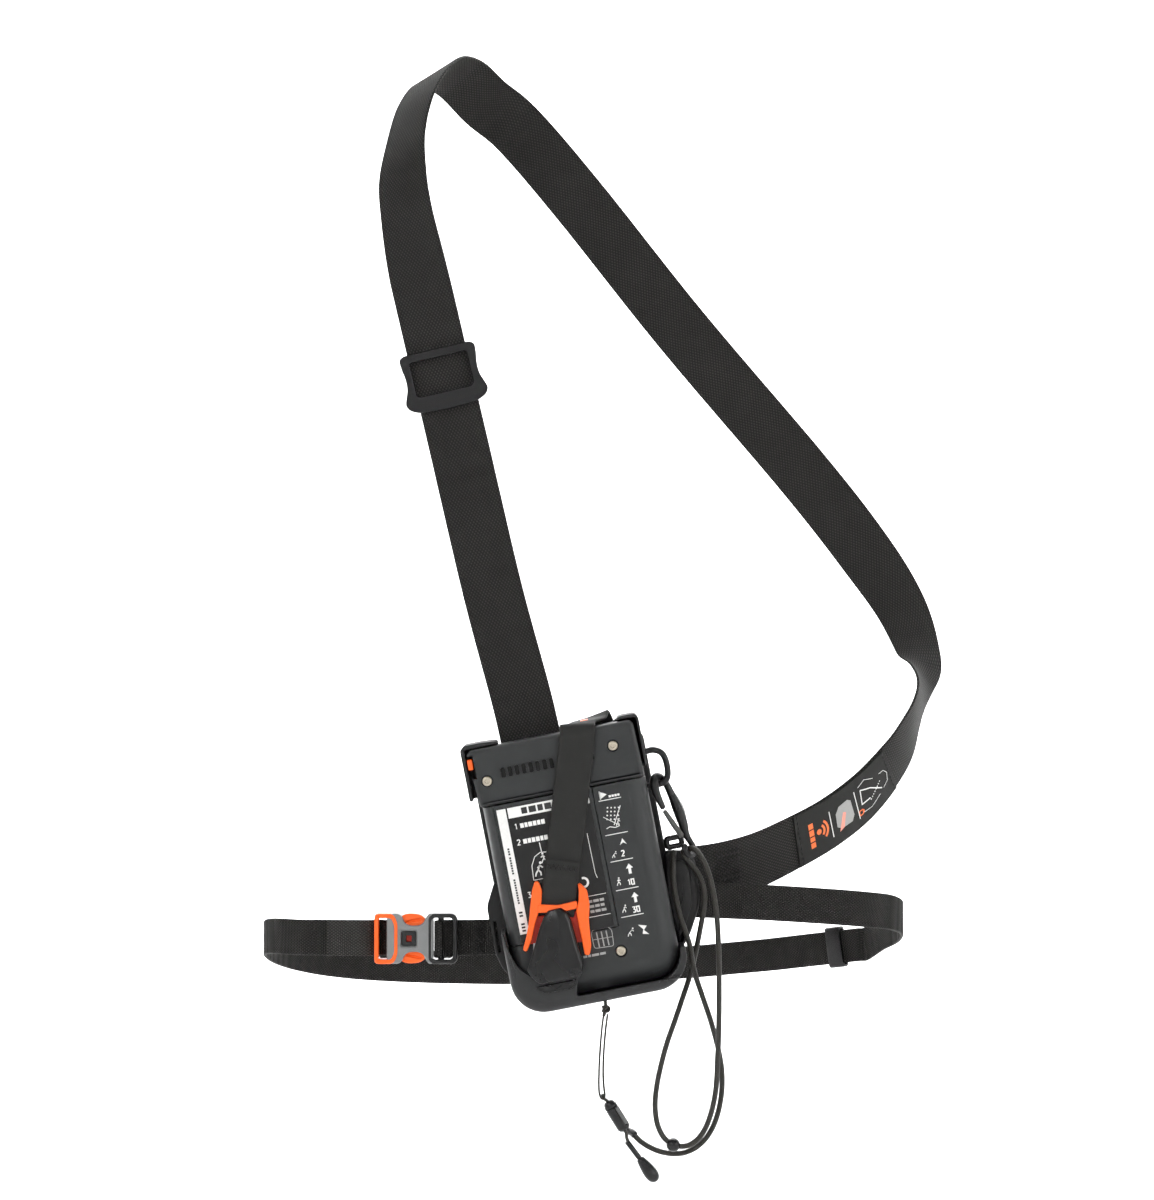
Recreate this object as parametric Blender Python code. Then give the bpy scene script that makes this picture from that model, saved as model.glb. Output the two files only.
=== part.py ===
"""Avalanche transceiver in its holster, with shoulder strap, waist belt and leash.

Row frame: +Z up as worn, -Y forwards, away from the wearer's chest. The origin lies on the flat
back face of the holster. The holster and the transceiver lean sideways, so both are modelled
upright in a frame of their own and hang from one empty that is turned by LEAN.
All sizes below are millimetres; MM turns them into Blender's metres.
"""
from math import ceil, cos, pi, radians, sin

import bmesh
import bpy
from mathutils import Vector

MM = 0.001
GAP = 0.3
LEAN = radians(11)

# Transceiver casing: x to the left and right, z along its height, y through its thickness.
CASE_HALF = 34.3
CASE_BOTTOM = -53.0
CASE_TOP = 54.7
CASE_RADIUS = 12.0
CASE_WALL = 1.6
DISPLAY_FACE = -3.1
FRONT_RIM = -14.9
SEAL_FRONT = -15.2
SEAL_BACK = -16.1
REAR_RIM = -16.4
LABEL_FACE = -28.4
REAR_FLOOR = 3.8
CAP_SEAM = 30.6
CAP_FACE = -28.9
CAP_OUTLINE = [(-34.9, 30.95), (34.0, 30.95), (33.5, 53.4), (32.0, 54.9), (-34.9, 54.9), (-36.6, 53.2)]
COVER_RIGHT = 11.5
COVER_BOTTOM = -27.6
COVER_THICK = 2.0
SWITCH_NOTCH = (42.9, 52.6)
SWITCH_SPAN = (46.8, 51.4)
SCREWS = {"screw_head_left": (-30.1, 41.2), "screw_head_right": (23.5, 45.7), "screw_lower": (10.7, -37.9)}
SCREW_FACES = {"screw_head_left": CAP_FACE, "screw_head_right": CAP_FACE, "screw_lower": LABEL_FACE}
SCREW_RADIUS = 1.9
BUTTONS = {"button_left": -12.0, "button_right": 12.0}
BUTTON_Z = -12.0
BUTTON_RADIUS = 5.0
CELL_RADIUS = 5.25
CELL_LENGTH = 44.5
CELL_X = (-21.5, -10.5, 0.5)
INSIDE_Y = -19.5

# Holster: a flat back plate, a cup round the casing's lower end, and two wings for the straps.
HOLSTER = (-36.6, 37.0, -56.9)
HOLSTER_RADIUS = 14.0
PLATE_TOP = 50.0
PLATE_THICK = 2.5
CUP_TOP = -22.0
CUP_FRONT = -31.8
CUP_INNER_FRONT = -29.3

# Closure: strap over the top, its buckle, and the release lever that the buckle closes on.
CLOSURE_HINGE = Vector((18.5, -1.4, 50.8))
CLOSURE_WIDTH = 14.7
CLOSURE_THICK = 1.6
LEVER_AXIS_POINT = Vector((-16.6, -34.2, -40.6))
LEVER_AXIS = Vector((0.985, 0.0, -0.17)).normalized()
PIN_RADIUS = 0.8
PIN_HALF = 8.0

# Leash hardware on the right side.
D_LOOP_RADIUS = 1.2
HOOK_ORIGIN = Vector((39.5, -16.0, 25.9))
HOOK_DOWN = Vector((0.215, 0.0, -0.977)).normalized()
HOOK_TILT = radians(53)
HOOK_RADIUS = 1.3
GATE_RADIUS = 1.0
GATE_HINGE = (-0.3, 23.4)
GATE_TIP = (-4.2, 11.0)

# Webbing.
SHOULDER_WIDTH = 25.5
WAIST_WIDTH = 15.0
WEBBING_THICK = 1.4
SHOULDER_BREAKS = (7, 14, 19)
LABEL_STATIONS = (25, 28)
WAIST_BREAKS = (5, 19)
RIBBON_STEP = 8.0
ADJUSTER_CENTRE = Vector((-57.4, 16.0, 203.7))
ADJUSTER_ALONG = Vector((-0.2284, 0.0, 0.9736)).normalized()
SLIDER_CENTRE = Vector((118.0, 121.3, -49.1))
SLIDER_ALONG = Vector((0.79, -0.59, 0.156)).normalized()

# Waist buckle.
BELT_Z = -32.4
BELT_Y = -2.5
BUCKLE_HALF = 10.6
PRONG_ROOT = -79.4

# Cords.
LEASH_RADIUS = 1.15
LANYARD_RADIUS = 0.45


# ---------------------------------------------------------------- shared tools

def clear_scene():
    for item in list(bpy.data.objects):
        bpy.data.objects.remove(item)


def plastic(name, colour, roughness=0.5, metallic=0.0):
    material = bpy.data.materials.new(name)
    material.use_nodes = True
    shader = material.node_tree.nodes["Principled BSDF"]
    shader.inputs["Base Color"].default_value = (*colour, 1.0)
    shader.inputs["Roughness"].default_value = roughness
    shader.inputs["Metallic"].default_value = metallic
    return material


def empty_at(name, point, parent=None):
    """An empty at a point given in millimetres, in its parent's frame."""
    holder = bpy.data.objects.new(name, None)
    bpy.context.collection.objects.link(holder)
    holder.parent = parent
    holder.location = Vector(point) * MM
    return holder


def link_object(name, data, look, parent):
    piece = bpy.data.objects.new(name, data)
    bpy.context.collection.objects.link(piece)
    if look:
        piece.data.materials.append(look)
    if parent:
        piece.parent = parent
    return piece


def hang_on(piece, pivot):
    """Hangs a piece on the empty of its joint and leaves it where it is."""
    piece.location = piece.location - pivot.location
    piece.parent = pivot


def loft(name, rings, look, parent=None, closed=False, smooth=False):
    """A closed body through rings of equal length; a closed loft joins its last ring to its first."""
    mesh = bpy.data.meshes.new(name)
    work = bmesh.new()
    loops = [[work.verts.new(Vector(point) * MM) for point in ring] for ring in rings]
    count = len(rings[0])
    pairs = list(zip(loops, loops[1:]))
    if closed:
        pairs.append((loops[-1], loops[0]))
    for near, far in pairs:
        for i in range(count):
            j = (i + 1) % count
            work.faces.new((near[i], near[j], far[j], far[i]))
    if not closed:
        work.faces.new(loops[0])
        work.faces.new(loops[-1])
    bmesh.ops.recalc_face_normals(work, faces=work.faces)
    work.to_mesh(mesh)
    work.free()
    if smooth:
        mesh.shade_smooth()
        mesh.set_sharp_from_angle(angle=radians(40))
    return link_object(name, mesh, look, parent)


def arc(centre, radius, start, end, steps):
    """Points of a circle's arc, angles in degrees."""
    angles = [radians(start + (end - start) * i / steps) for i in range(steps + 1)]
    return [(centre[0] + radius * cos(a), centre[1] + radius * sin(a)) for a in angles]


def rounded_box(left, right, low, high, radii, steps=4):
    """A rounded rectangle; radii run from the lower left corner, anticlockwise."""
    a, b, c, d = radii
    points = arc((left + a, low + a), a, 180, 270, steps)
    points += arc((right - b, low + b), b, 270, 360, steps)
    points += arc((right - c, high - c), c, 0, 90, steps)
    points += arc((left + d, high - d), d, 90, 180, steps)
    return points


def inset(outline, distance):
    """A convex anticlockwise outline, moved inwards by a distance."""
    result = []
    for i, point in enumerate(outline):
        here = Vector(point)
        before = (here - Vector(outline[i - 1])).normalized()
        after = (Vector(outline[(i + 1) % len(outline)]) - here).normalized()
        normal = Vector((-before.y, before.x)) + Vector((-after.y, after.x))
        normal = normal / max(normal.length_squared / 2, 0.5)
        result.append(tuple(here + normal * distance))
    return result


def at_depth(outline, y):
    return [(x, y, z) for x, z in outline]


def slab(name, outline, front, back, look, parent=None):
    """An outline in x and z, with thickness from y = front to y = back."""
    return loft(name, [at_depth(outline, front), at_depth(outline, back)], look, parent)


def tray(name, outline, rim, floor, wall, thickness, look, parent=None):
    """An open box: walls round the outline, a rim at y = rim and a floor at y = floor."""
    inner = inset(outline, wall)
    inner_floor = floor + thickness if rim > floor else floor - thickness
    rings = [at_depth(outline, floor), at_depth(outline, rim)]
    rings += [at_depth(inner, rim), at_depth(inner, inner_floor)]
    return loft(name, rings, look, parent)


def frame_of(axis, across=None):
    """Two unit vectors square to an axis; the first one lies as near as it can to across."""
    side = Vector(across) if across else Vector((0, 1, 0)) if abs(axis.y) < 0.9 else Vector((1, 0, 0))
    side = (side - axis * side.dot(axis)).normalized()
    return side, axis.cross(side)


def circle(centre, axis, radius, sides):
    first, second = frame_of(axis)
    turns = [2 * pi * i / sides for i in range(sides)]
    return [centre + (first * cos(t) + second * sin(t)) * radius for t in turns]


def turned(name, start, axis, profile, look, parent=None, sides=20):
    """A turned body: profile lists (distance along the axis, radius)."""
    rings = [circle(start + axis * along, axis, radius, sides) for along, radius in profile]
    return loft(name, rings, look, parent, smooth=True)


def curve_with_stops(points, step):
    """Catmull-Rom curve, a point about every step, and where on it each given point lies."""
    keys = [Vector(point) for point in points]
    keys = [keys[0] * 2 - keys[1]] + keys + [keys[-1] * 2 - keys[-2]]
    result = []
    stops = [0]
    for a, b, c, d in zip(keys, keys[1:], keys[2:], keys[3:]):
        pieces = max(1, ceil(Vector((c - b)[:3]).length / step))
        for i in range(pieces):
            t = i / pieces
            point = 2 * b + (c - a) * t + (2 * a - 5 * b + 4 * c - d) * t ** 2
            result.append((point + (3 * b - a - 3 * c + d) * t ** 3) / 2)
        stops.append(len(result))
    return result + [keys[-2]], stops


def smooth_curve(points, step):
    return curve_with_stops(points, step)[0]


def tangents(points):
    ends = [points[0]] + points + [points[-1]]
    return [(after - before).normalized() for before, after in zip(ends, ends[2:])]


def rod(name, points, radius, look, parent=None, sides=8):
    """A bar of round section along a path."""
    rings = []
    side = None
    for point, along in zip(points, tangents(points)):
        side, other = frame_of(along, side)
        turns = [2 * pi * i / sides for i in range(sides)]
        rings.append([point + (side * cos(t) + other * sin(t)) * radius for t in turns])
    return loft(name, rings, look, parent, smooth=True)


def cord(name, route, radius, look, step=2.6):
    """A cord: a curve with a round bevel and filled ends."""
    curve = bpy.data.curves.new(name, "CURVE")
    curve.dimensions = "3D"
    curve.bevel_depth = radius * MM
    curve.bevel_resolution = 2
    curve.use_fill_caps = True
    points = smooth_curve(route, step * 2 * radius)
    spline = curve.splines.new("POLY")
    spline.points.add(len(points) - 1)
    for spot, point in zip(spline.points, points):
        spot.co = (*(point * MM), 1.0)
    return link_object(name, curve, look, None)


def ribbon_frames(stations, step=RIBBON_STEP):
    """Frames of a strap: centre, along, across and face vectors.

    A station is a centre and a width direction.
    """
    samples, stops = curve_with_stops([Vector(station) for station in stations], step)
    centres = [Vector(sample[:3]) for sample in samples]
    frames = []
    for sample, centre, along in zip(samples, centres, tangents(centres)):
        across, face = frame_of(along, sample[3:6])
        frames.append((centre, along, across, face))
    return frames, stops


def ribbon(name, frames, width, thick, look, lift=0.0):
    """A flat strap; lift moves it off the route along its face vector."""
    rings = []
    for centre, _, across, face in frames:
        middle = centre + face * lift
        half, deep = across * width / 2, face * thick / 2
        rings.append([middle - half - deep, middle + half - deep, middle + half + deep, middle - half + deep])
    return loft(name, rings, look)


def strap(names, stations, breaks, width, looks):
    """One strap as several nodes, cut at the stations that breaks names, with a gap at each cut."""
    frames, stops = ribbon_frames(stations)
    ends = [0] + [stops[number] for number in breaks] + [len(frames) - 1]
    for name, start, end in zip(names, ends, ends[1:]):
        run = frames[start:end + 1]
        if start:
            centre, along, across, face = run[0]
            run[0] = (centre + along * GAP, along, across, face)
        ribbon(name, run, width, WEBBING_THICK, looks)
    return frames, stops


def box_rings(low, high):
    """Two rings of a box, square to y."""
    corners = [(low[0], low[2]), (high[0], low[2]), (high[0], high[2]), (low[0], high[2])]
    return [at_depth(corners, low[1]), at_depth(corners, high[1])]


def change(piece, tool, operation):
    """Adds a Boolean of a helper body, which is a guide and not a part."""
    tool.hide_render = True
    tool.display_type = "WIRE"
    boolean = piece.modifiers.new(tool.name, "BOOLEAN")
    boolean.operation = operation
    boolean.object = tool
    boolean.solver = "EXACT"


def cut_box(piece, name, low, high, parent=None):
    change(piece, loft(name, box_rings(low, high), None, parent), "DIFFERENCE")


def cut_round(piece, name, start, axis, length, radius, parent=None):
    tool = turned(name, start, axis, [(0, radius), (length, radius)], None, parent, sides=20)
    change(piece, tool, "DIFFERENCE")


# ---------------------------------------------------------------- transceiver casing

def make_front_shell(holster, looks):
    outline = rounded_box(-CASE_HALF, CASE_HALF, CASE_BOTTOM, CASE_TOP, (CASE_RADIUS, CASE_RADIUS, 4, 4))
    shell = tray("front_shell", outline, FRONT_RIM, DISPLAY_FACE, CASE_WALL, 1.8, looks["housing"], holster)
    cut_box(shell, "window_cutter", (-21, -6, 4), (21, -2, 40), holster)
    for name, x in BUTTONS.items():
        start = Vector((x, -6, BUTTON_Z))
        cut_round(shell, name + "_cutter", start, Vector((0, 1, 0)), 4, BUTTON_RADIUS + GAP, holster)


def make_seal(holster, looks):
    outline = rounded_box(-CASE_HALF, CASE_HALF, CASE_BOTTOM, CASE_TOP, (CASE_RADIUS, CASE_RADIUS, 4, 4))
    outer, inner = inset(outline, 0.6), inset(outline, 2.4)
    rings = [at_depth(outer, SEAL_FRONT), at_depth(outer, SEAL_BACK)]
    rings += [at_depth(inner, SEAL_BACK), at_depth(inner, SEAL_FRONT)]
    loft("housing_seal", rings, looks["seal"], holster, closed=True)


def make_rear_shell(holster, looks):
    radii = (CASE_RADIUS, CASE_RADIUS, 2.2, 2.2)
    outline = rounded_box(-CASE_HALF, CASE_HALF, CASE_BOTTOM, CAP_SEAM, radii)
    shell = tray("rear_shell", outline, REAR_RIM, LABEL_FACE, CASE_WALL, REAR_FLOOR, looks["housing"],
                 holster)
    recess = LABEL_FACE + COVER_THICK + GAP
    low = (-40, -32, COVER_BOTTOM - GAP)
    cut_box(shell, "cover_recess", low, (COVER_RIGHT + GAP, recess, 40), holster)
    cut_box(shell, "battery_opening", (-27, -30, -24), (7, -20, 26), holster)
    drill_screw(shell, "screw_lower", holster)


def make_battery_cover(holster, looks):
    left = -CASE_HALF
    outline = rounded_box(left, COVER_RIGHT, COVER_BOTTOM, CAP_SEAM, (0.5, 0.5, 0.5, 0.5), 1)
    slab("battery_cover", outline, LABEL_FACE, LABEL_FACE + COVER_THICK, looks["cover"], holster)
    label = rounded_box(-28.8, 9.9, -27.2, 28.8, (0.8, 0.8, 0.8, 0.8), 2)
    slab("instruction_label", label, LABEL_FACE - GAP - 0.3, LABEL_FACE - GAP, looks["label"], holster)


def make_head_cap(holster, looks):
    cap = tray("head_cap", CAP_OUTLINE, REAR_RIM, CAP_FACE, CASE_WALL, 1.8, looks["housing"], holster)
    low = (-40, -32, SWITCH_NOTCH[0])
    cut_box(cap, "switch_notch", low, (-34.0, -10, SWITCH_NOTCH[1]), holster)
    drill_screw(cap, "screw_head_left", holster)
    drill_screw(cap, "screw_head_right", holster)


def drill_screw(piece, name, holster):
    x, z = SCREWS[name]
    start = Vector((x, -32, z))
    cut_round(piece, name + "_hole", start, Vector((0, 1, 0)), 9, SCREW_RADIUS + GAP, holster)


def make_screws(holster, looks):
    for name, (x, z) in SCREWS.items():
        start = Vector((x, SCREW_FACES[name] + 0.1, z))
        profile = [(0, 1.3), (0.5, SCREW_RADIUS), (1.5, SCREW_RADIUS), (1.5, 1.1), (8.5, 1.1), (9.3, 0.4)]
        turned(name, start, Vector((0, 1, 0)), profile, looks["nickel"], holster, sides=12)


def make_bumpers(holster, looks):
    """Rubber corners round the head, joined to the front half of the casing."""
    left = [(-38.8, 34.0), (-37.2, 34.0), (-37.1, 55.3), (-23.0, 55.3), (-23.5, 56.6), (-30.0, 57.2)]
    left += [(-37.0, 57.2), (-38.9, 55.5)]
    right = [(34.65, 34.5), (35.9, 35.5), (36.1, 55.2), (34.6, 57.0), (28.0, 57.0), (27.0, 55.9)]
    right += [(27.2, 55.25), (34.65, 55.25)]
    slab("corner_bumper_left", left, -26, -4, looks["rubber"], holster)
    slab("corner_bumper_right", right, -26, -4, looks["rubber"], holster)


def make_display(holster, looks):
    pane = rounded_box(-20.7, 20.7, 4.3, 39.7, (1, 1, 1, 1), 2)
    slab("display_window", pane, -4.8, -3.2, looks["window"], holster)
    module = rounded_box(-22.5, 22.5, 2.5, 41.5, (1, 1, 1, 1), 1)
    slab("display_module", module, -7.5, -5.3, looks["display"], holster)


# ---------------------------------------------------------------- inside the casing

def make_electronics(holster, looks):
    board = rounded_box(-31, 31, -38, 50, (4, 4, 2, 2), 2)
    slab("circuit_board", board, -9.6, -8.2, looks["board"], holster)
    back = Vector((0, 1, 0))
    profile = [(0, 5.0), (1.2, 5.0), (1.2, 8.0), (3.2, 8.0)]
    turned("speaker", Vector((0, -13.2, -33)), back, profile, looks["steel"], holster, sides=16)
    coil = [(0, 2.4), (8, 2.4), (8, 3.8), (64, 3.8), (64, 2.4), (72, 2.4)]
    turned("antenna_long", Vector((27, INSIDE_Y, -46)), Vector((0, 0, 1)), coil, looks["copper"], holster, 12)
    coil = [(0, 2.0), (7, 2.0), (7, 3.2), (47, 3.2), (47, 2.0), (54, 2.0)]
    turned("antenna_cross", Vector((-26, -20, 38)), Vector((1, 0, 0)), coil, looks["copper"], holster, 12)
    coil = [(0, 2.6), (1.5, 2.6), (1.5, 4.5), (6.5, 4.5), (6.5, 2.6), (8, 2.6)]
    turned("antenna_upright", Vector((-10, -25, 47)), back, coil, looks["copper"], holster, 12)


def make_batteries(holster, looks):
    up = Vector((0, 0, 1))
    profile = [(0, 4.9), (0.6, CELL_RADIUS), (CELL_LENGTH - 1.6, CELL_RADIUS), (CELL_LENGTH - 1.0, 4.6)]
    profile += [(CELL_LENGTH - 1.0, 1.9), (CELL_LENGTH, 1.9)]
    for number, x in enumerate(CELL_X, start=1):
        start = Vector((x, INSIDE_Y, -22.2))
        turned("battery_cell_" + str(number), start, up, profile, looks["cell"], holster, 14)
    contact = [(-26.0, 22.7), (5.5, 22.7), (5.5, 23.2), (-26.0, 23.2)]
    slab("battery_contact", contact, -24, -15, looks["nickel"], holster)


# ---------------------------------------------------------------- controls of the transceiver

def make_controls(holster, looks):
    low, high = SWITCH_SPAN
    pivot = empty_at("mode_switch_slide", (-35.5, -22.5, (low + high) / 2), holster)
    outline = rounded_box(-36.5, -34.4, low, high, (0.5, 0.5, 0.5, 0.5), 2)
    switch = slab("mode_switch", outline, -28.2, -18.0, looks["orange"], holster)
    hang_on(switch, pivot)
    for name, x in BUTTONS.items():
        pivot = empty_at(name + "_slide", (x, DISPLAY_FACE, BUTTON_Z), holster)
        profile = [(0, BUTTON_RADIUS - 0.4), (3.3, BUTTON_RADIUS), (3.8, BUTTON_RADIUS - 0.6)]
        start = Vector((x, -7.0, BUTTON_Z))
        hang_on(turned(name, start, Vector((0, 1, 0)), profile, looks["rubber"], holster), pivot)


# ---------------------------------------------------------------- holster

def make_back_plate(holster, looks):
    left, right, bottom = HOLSTER
    radii = (HOLSTER_RADIUS, HOLSTER_RADIUS, 5, 5)
    outline = rounded_box(left, right, bottom, PLATE_TOP, radii)
    slab("holster_back_plate", outline, -PLATE_THICK, 0, looks["plate"], holster)


def make_cup(holster, looks):
    left, right, bottom = HOLSTER
    radii = (HOLSTER_RADIUS, HOLSTER_RADIUS, 0.5, 0.5)
    outline = rounded_box(left, right, bottom, CUP_TOP, radii)
    cup = slab("holster_cup", outline, CUP_FRONT, -2.8, looks["cup"], holster)
    hollow = CASE_HALF + 0.5
    space = rounded_box(-hollow, hollow, CASE_BOTTOM - 0.5, -10, (12.4, 12.4, 0.5, 0.5))
    change(cup, slab("cup_hollow", space, CUP_INNER_FRONT, 5, None, holster), "DIFFERENCE")
    scoop = [(-34.6, -10), (-34.2, -30), (-32.3, -36), (-28.5, -39.5), (-28.0, -41), (-6.5, -41), (-6.5, -10)]
    change(cup, slab("cup_scoop", scoop, -35, -28, None, holster), "DIFFERENCE")
    window = [(-6.7, -5), (-6.7, -43), (-9.2, -46.5), (-10.3, -51), (-10.3, -52.4), (40, -52.4), (40, -5)]
    change(cup, slab("cup_window", window, -35, -28, None, holster), "DIFFERENCE")
    cut_box(cup, "cup_side_cutter", (30, -35, -41), (40, 5, -5), holster)
    cut_box(cup, "lanyard_slot", (-0.4, -28.5, -60), (3.6, -24.5, -52), holster)
    change(cup, make_lug(holster), "UNION")
    start = LEVER_AXIS_POINT - LEVER_AXIS * 12
    cut_round(cup, "lug_hole", start, LEVER_AXIS, 24, PIN_RADIUS + GAP, holster)


def make_lug(holster):
    """The lug on the cup's front wall that carries the lever's pin."""
    side, _ = frame_of(LEVER_AXIS, (0, -1, 0))
    up = side.cross(LEVER_AXIS)
    turns = [radians(-100 + 200 * i / 8) for i in range(9)]
    reach = [side * 1.9 * cos(t) + up * 1.9 * sin(t) for t in turns]
    reach += [side * -3.2 + up * 2.2, side * -3.2 - up * 2.2]
    ends = (LEVER_AXIS_POINT - LEVER_AXIS * 3.8, LEVER_AXIS_POINT + LEVER_AXIS * 3.8)
    return loft("lever_lug", [[end + point for point in reach] for end in ends], None, holster)


def make_wings(holster, looks):
    left = [(-36.95, -2.5), (-41.0, -11.5), (-40.6, -31.0), (-36.95, -39.0)]
    slab("belt_wing_left", left, -4.6, -3.0, looks["wing"], holster)
    right = [(37.3, -43.0), (40.5, -36.0), (46.5, -25.0), (48.2, -9.0), (46.5, -4.6), (37.3, -3.0)]
    slab("belt_wing_right", right, -6.5, -4.9, looks["wing"], holster)


# ---------------------------------------------------------------- closure and release lever

def make_closure(holster, looks):
    pivot = empty_at("closure_hinge", CLOSURE_HINGE, holster)
    lean = (0.955, 0.0, -0.295)
    stations = [(18.9, -1.4, 52.7, 0.955, 0, 0.295), (18.3, -1.3, 55.4, 0.955, -0.05, 0.29)]
    stations += [(17.6, -3.9, 57.9, 0.955, -0.2, 0.2), (16.2, -8.5, 57.2, 0.955, -0.295, 0)]
    stations += [(13.4, -17.5, 57.0, 0.955, -0.295, 0), (11.2, -25.0, 57.1, 0.955, -0.29, -0.03)]
    stations += [(10.7, -29.7, 56.5, 0.955, -0.2, -0.21), (10.2, -30.7, 53.8, 0.955, -0.03, -0.29)]
    stations += [(9.2, -30.4, 50.0, *lean), (4.1, -30.4, 33.5, *lean), (-10.9, -30.4, -13.4, *lean)]
    frames, _ = ribbon_frames(stations, 5.0)
    hang_on(ribbon("closure_strap", frames, CLOSURE_WIDTH, CLOSURE_THICK, looks["coated"]), pivot)
    outline = [(-16.6, -2.8), (-20.3, -7.0), (-22.7, -13.2), (-24.0, -18.5), (-26.2, -24.0), (-28.0, -28.2)]
    outline += [(-26.0, -28.2), (-23.6, -24.5), (-21.0, -19.8), (-19.6, -15.9), (-14.2, -15.0), (-8.8, -17.0)]
    outline += [(-4.8, -20.4), (-4.4, -24.0), (-4.5, -33.0), (-4.9, -35.0), (-2.9, -35.2), (-1.8, -33.0)]
    outline += [(-1.0, -22.0), (1.5, -16.0), (1.3, -9.6), (0.2, -4.9), (-0.6, -7.0), (-3.2, -15.2)]
    outline += [(-3.9, -16.4), (-10.5, -14.3), (-18.6, -12.2), (-17.4, -7.0)]
    hang_on(slab("closure_buckle", outline, -32.9, -29.7, looks["orange"], holster), pivot)
    bpy.data.objects["closure_strap"].parent = pivot


def make_lever(holster, looks):
    """Chunky lever; each section is z, left, right, back, edge and ridge depth."""
    pivot = empty_at("lever_hinge", LEVER_AXIS_POINT, holster)
    sections = [(-16.0, -14.6, -11.3, -33.4, -34.0, -34.4), (-17.2, -16.9, -9.5, -33.2, -34.4, -35.6)]
    sections += [(-20.6, -19.6, -7.6, -33.0, -34.6, -36.6), (-26.8, -23.6, -6.9, -32.6, -34.6, -37.4)]
    sections += [(-33.0, -27.0, -6.4, -32.3, -34.6, -38.0), (-37.1, -27.8, -5.8, -32.2, -34.6, -38.2)]
    sections += [(-41.2, -23.9, -6.1, -32.6, -34.8, -38.0), (-44.6, -20.4, -13.8, -34.2, -35.0, -36.6)]
    rings = []
    for z, left, right, back, edge, ridge in sections:
        middle = (left + right) / 2 + 1.0
        ring = [(left, back, z), (left, edge, z), (left + 1.4, edge - 1.2, z), (middle, ridge, z)]
        rings.append(ring + [(right - 1.4, edge - 1.2, z), (right, edge, z), (right, back, z)])
    lever = loft("release_lever", rings, looks["lever"], holster, smooth=True)
    start = LEVER_AXIS_POINT - LEVER_AXIS * (PIN_HALF + GAP)
    cut_round(lever, "lever_bore", start, LEVER_AXIS, 2 * (PIN_HALF + GAP), PIN_RADIUS + GAP, holster)
    start = LEVER_AXIS_POINT - LEVER_AXIS * 4.3
    cut_round(lever, "lug_space", start, LEVER_AXIS, 8.6, 2.3, holster)
    under = (LEVER_AXIS_POINT.x - 4.3, -34.2, -46), (LEVER_AXIS_POINT.x + 4.3, -30, -36)
    cut_box(lever, "lug_way", *under, holster)
    hang_on(lever, pivot)
    profile = [(0, PIN_RADIUS), (2 * PIN_HALF, PIN_RADIUS)]
    pin_start = LEVER_AXIS_POINT - LEVER_AXIS * PIN_HALF
    turned("lever_pin", pin_start, LEVER_AXIS, profile, looks["steel"], holster, 12)


def make_lever_spring(holster, looks):
    """A bent leaf that rests on the cup's edge and presses the lever's tip outwards."""
    across = (0.985, 0.0, -0.17)
    stations = [(-24.0, -30.6, -39.6, *across), (-24.0, -31.0, -37.6, *across)]
    stations += [(-23.4, -31.6, -34.0, *across), (-22.0, -31.9, -28.0, *across)]
    frames, _ = ribbon_frames(stations, 4.0)
    spring = ribbon("lever_spring", frames, 4.0, 0.4, looks["steel"])
    spring.parent = holster


# ---------------------------------------------------------------- leash hardware

def make_d_loop(holster, looks):
    points = [(36.5, 40.2), (39.5, 40.3), (42.6, 38.6), (43.9, 35.3), (43.9, 30.4), (42.7, 27.2), (40.0, 25.9)]
    points += [(34.7, 25.9)]
    path = smooth_curve([(x, -16.0, z) for x, z in points], 2.0)
    rod("d_loop", path, D_LOOP_RADIUS, looks["wire"], holster)
    ring = rounded_box(37.6, 44.4, -1.6, 2.6, (1.2, 1.2, 1.2, 1.2), 3)
    outer = inset(ring, -1.1)
    rings = [at_depth(outer, -9.0), at_depth(ring, -9.0), at_depth(ring, -7.2), at_depth(outer, -7.2)]
    loft("leash_ring", rings, looks["gloss"], holster, closed=True)


def hook_point(across, down):
    """A point of the snap hook's own plane."""
    side = Vector((-HOOK_DOWN.z, 0, HOOK_DOWN.x))
    tilted = side * cos(HOOK_TILT) + Vector((0, 1, 0)) * sin(HOOK_TILT)
    return HOOK_ORIGIN + tilted * across + HOOK_DOWN * down


def make_snap_hook(holster, looks):
    shape = [(-4.2, 9.6), (-4.5, 5.0), (-4.1, 1.0), (-2.5, -2.1), (0.0, -3.2), (2.5, -2.1), (4.2, 1.0)]
    shape += [(4.7, 6.0), (4.8, 13.0), (4.1, 19.0), (3.0, 23.5), (3.6, 27.0), (4.1, 29.6), (3.0, 32.0)]
    shape += [(0.9, 32.5), (-1.2, 31.6), (-1.9, 29.4), (-0.9, 27.4)]
    path = smooth_curve([hook_point(*pair) for pair in shape], 2.2)
    rod("snap_hook", path, HOOK_RADIUS, looks["hook"], holster)
    pivot = empty_at("gate_hinge", hook_point(*GATE_HINGE), holster)
    ends = [hook_point(*GATE_HINGE), hook_point(*GATE_TIP)]
    gate = rod("snap_hook_gate", ends, GATE_RADIUS, looks["gate"], holster)
    hang_on(gate, pivot)


# ---------------------------------------------------------------- shoulder strap

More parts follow.
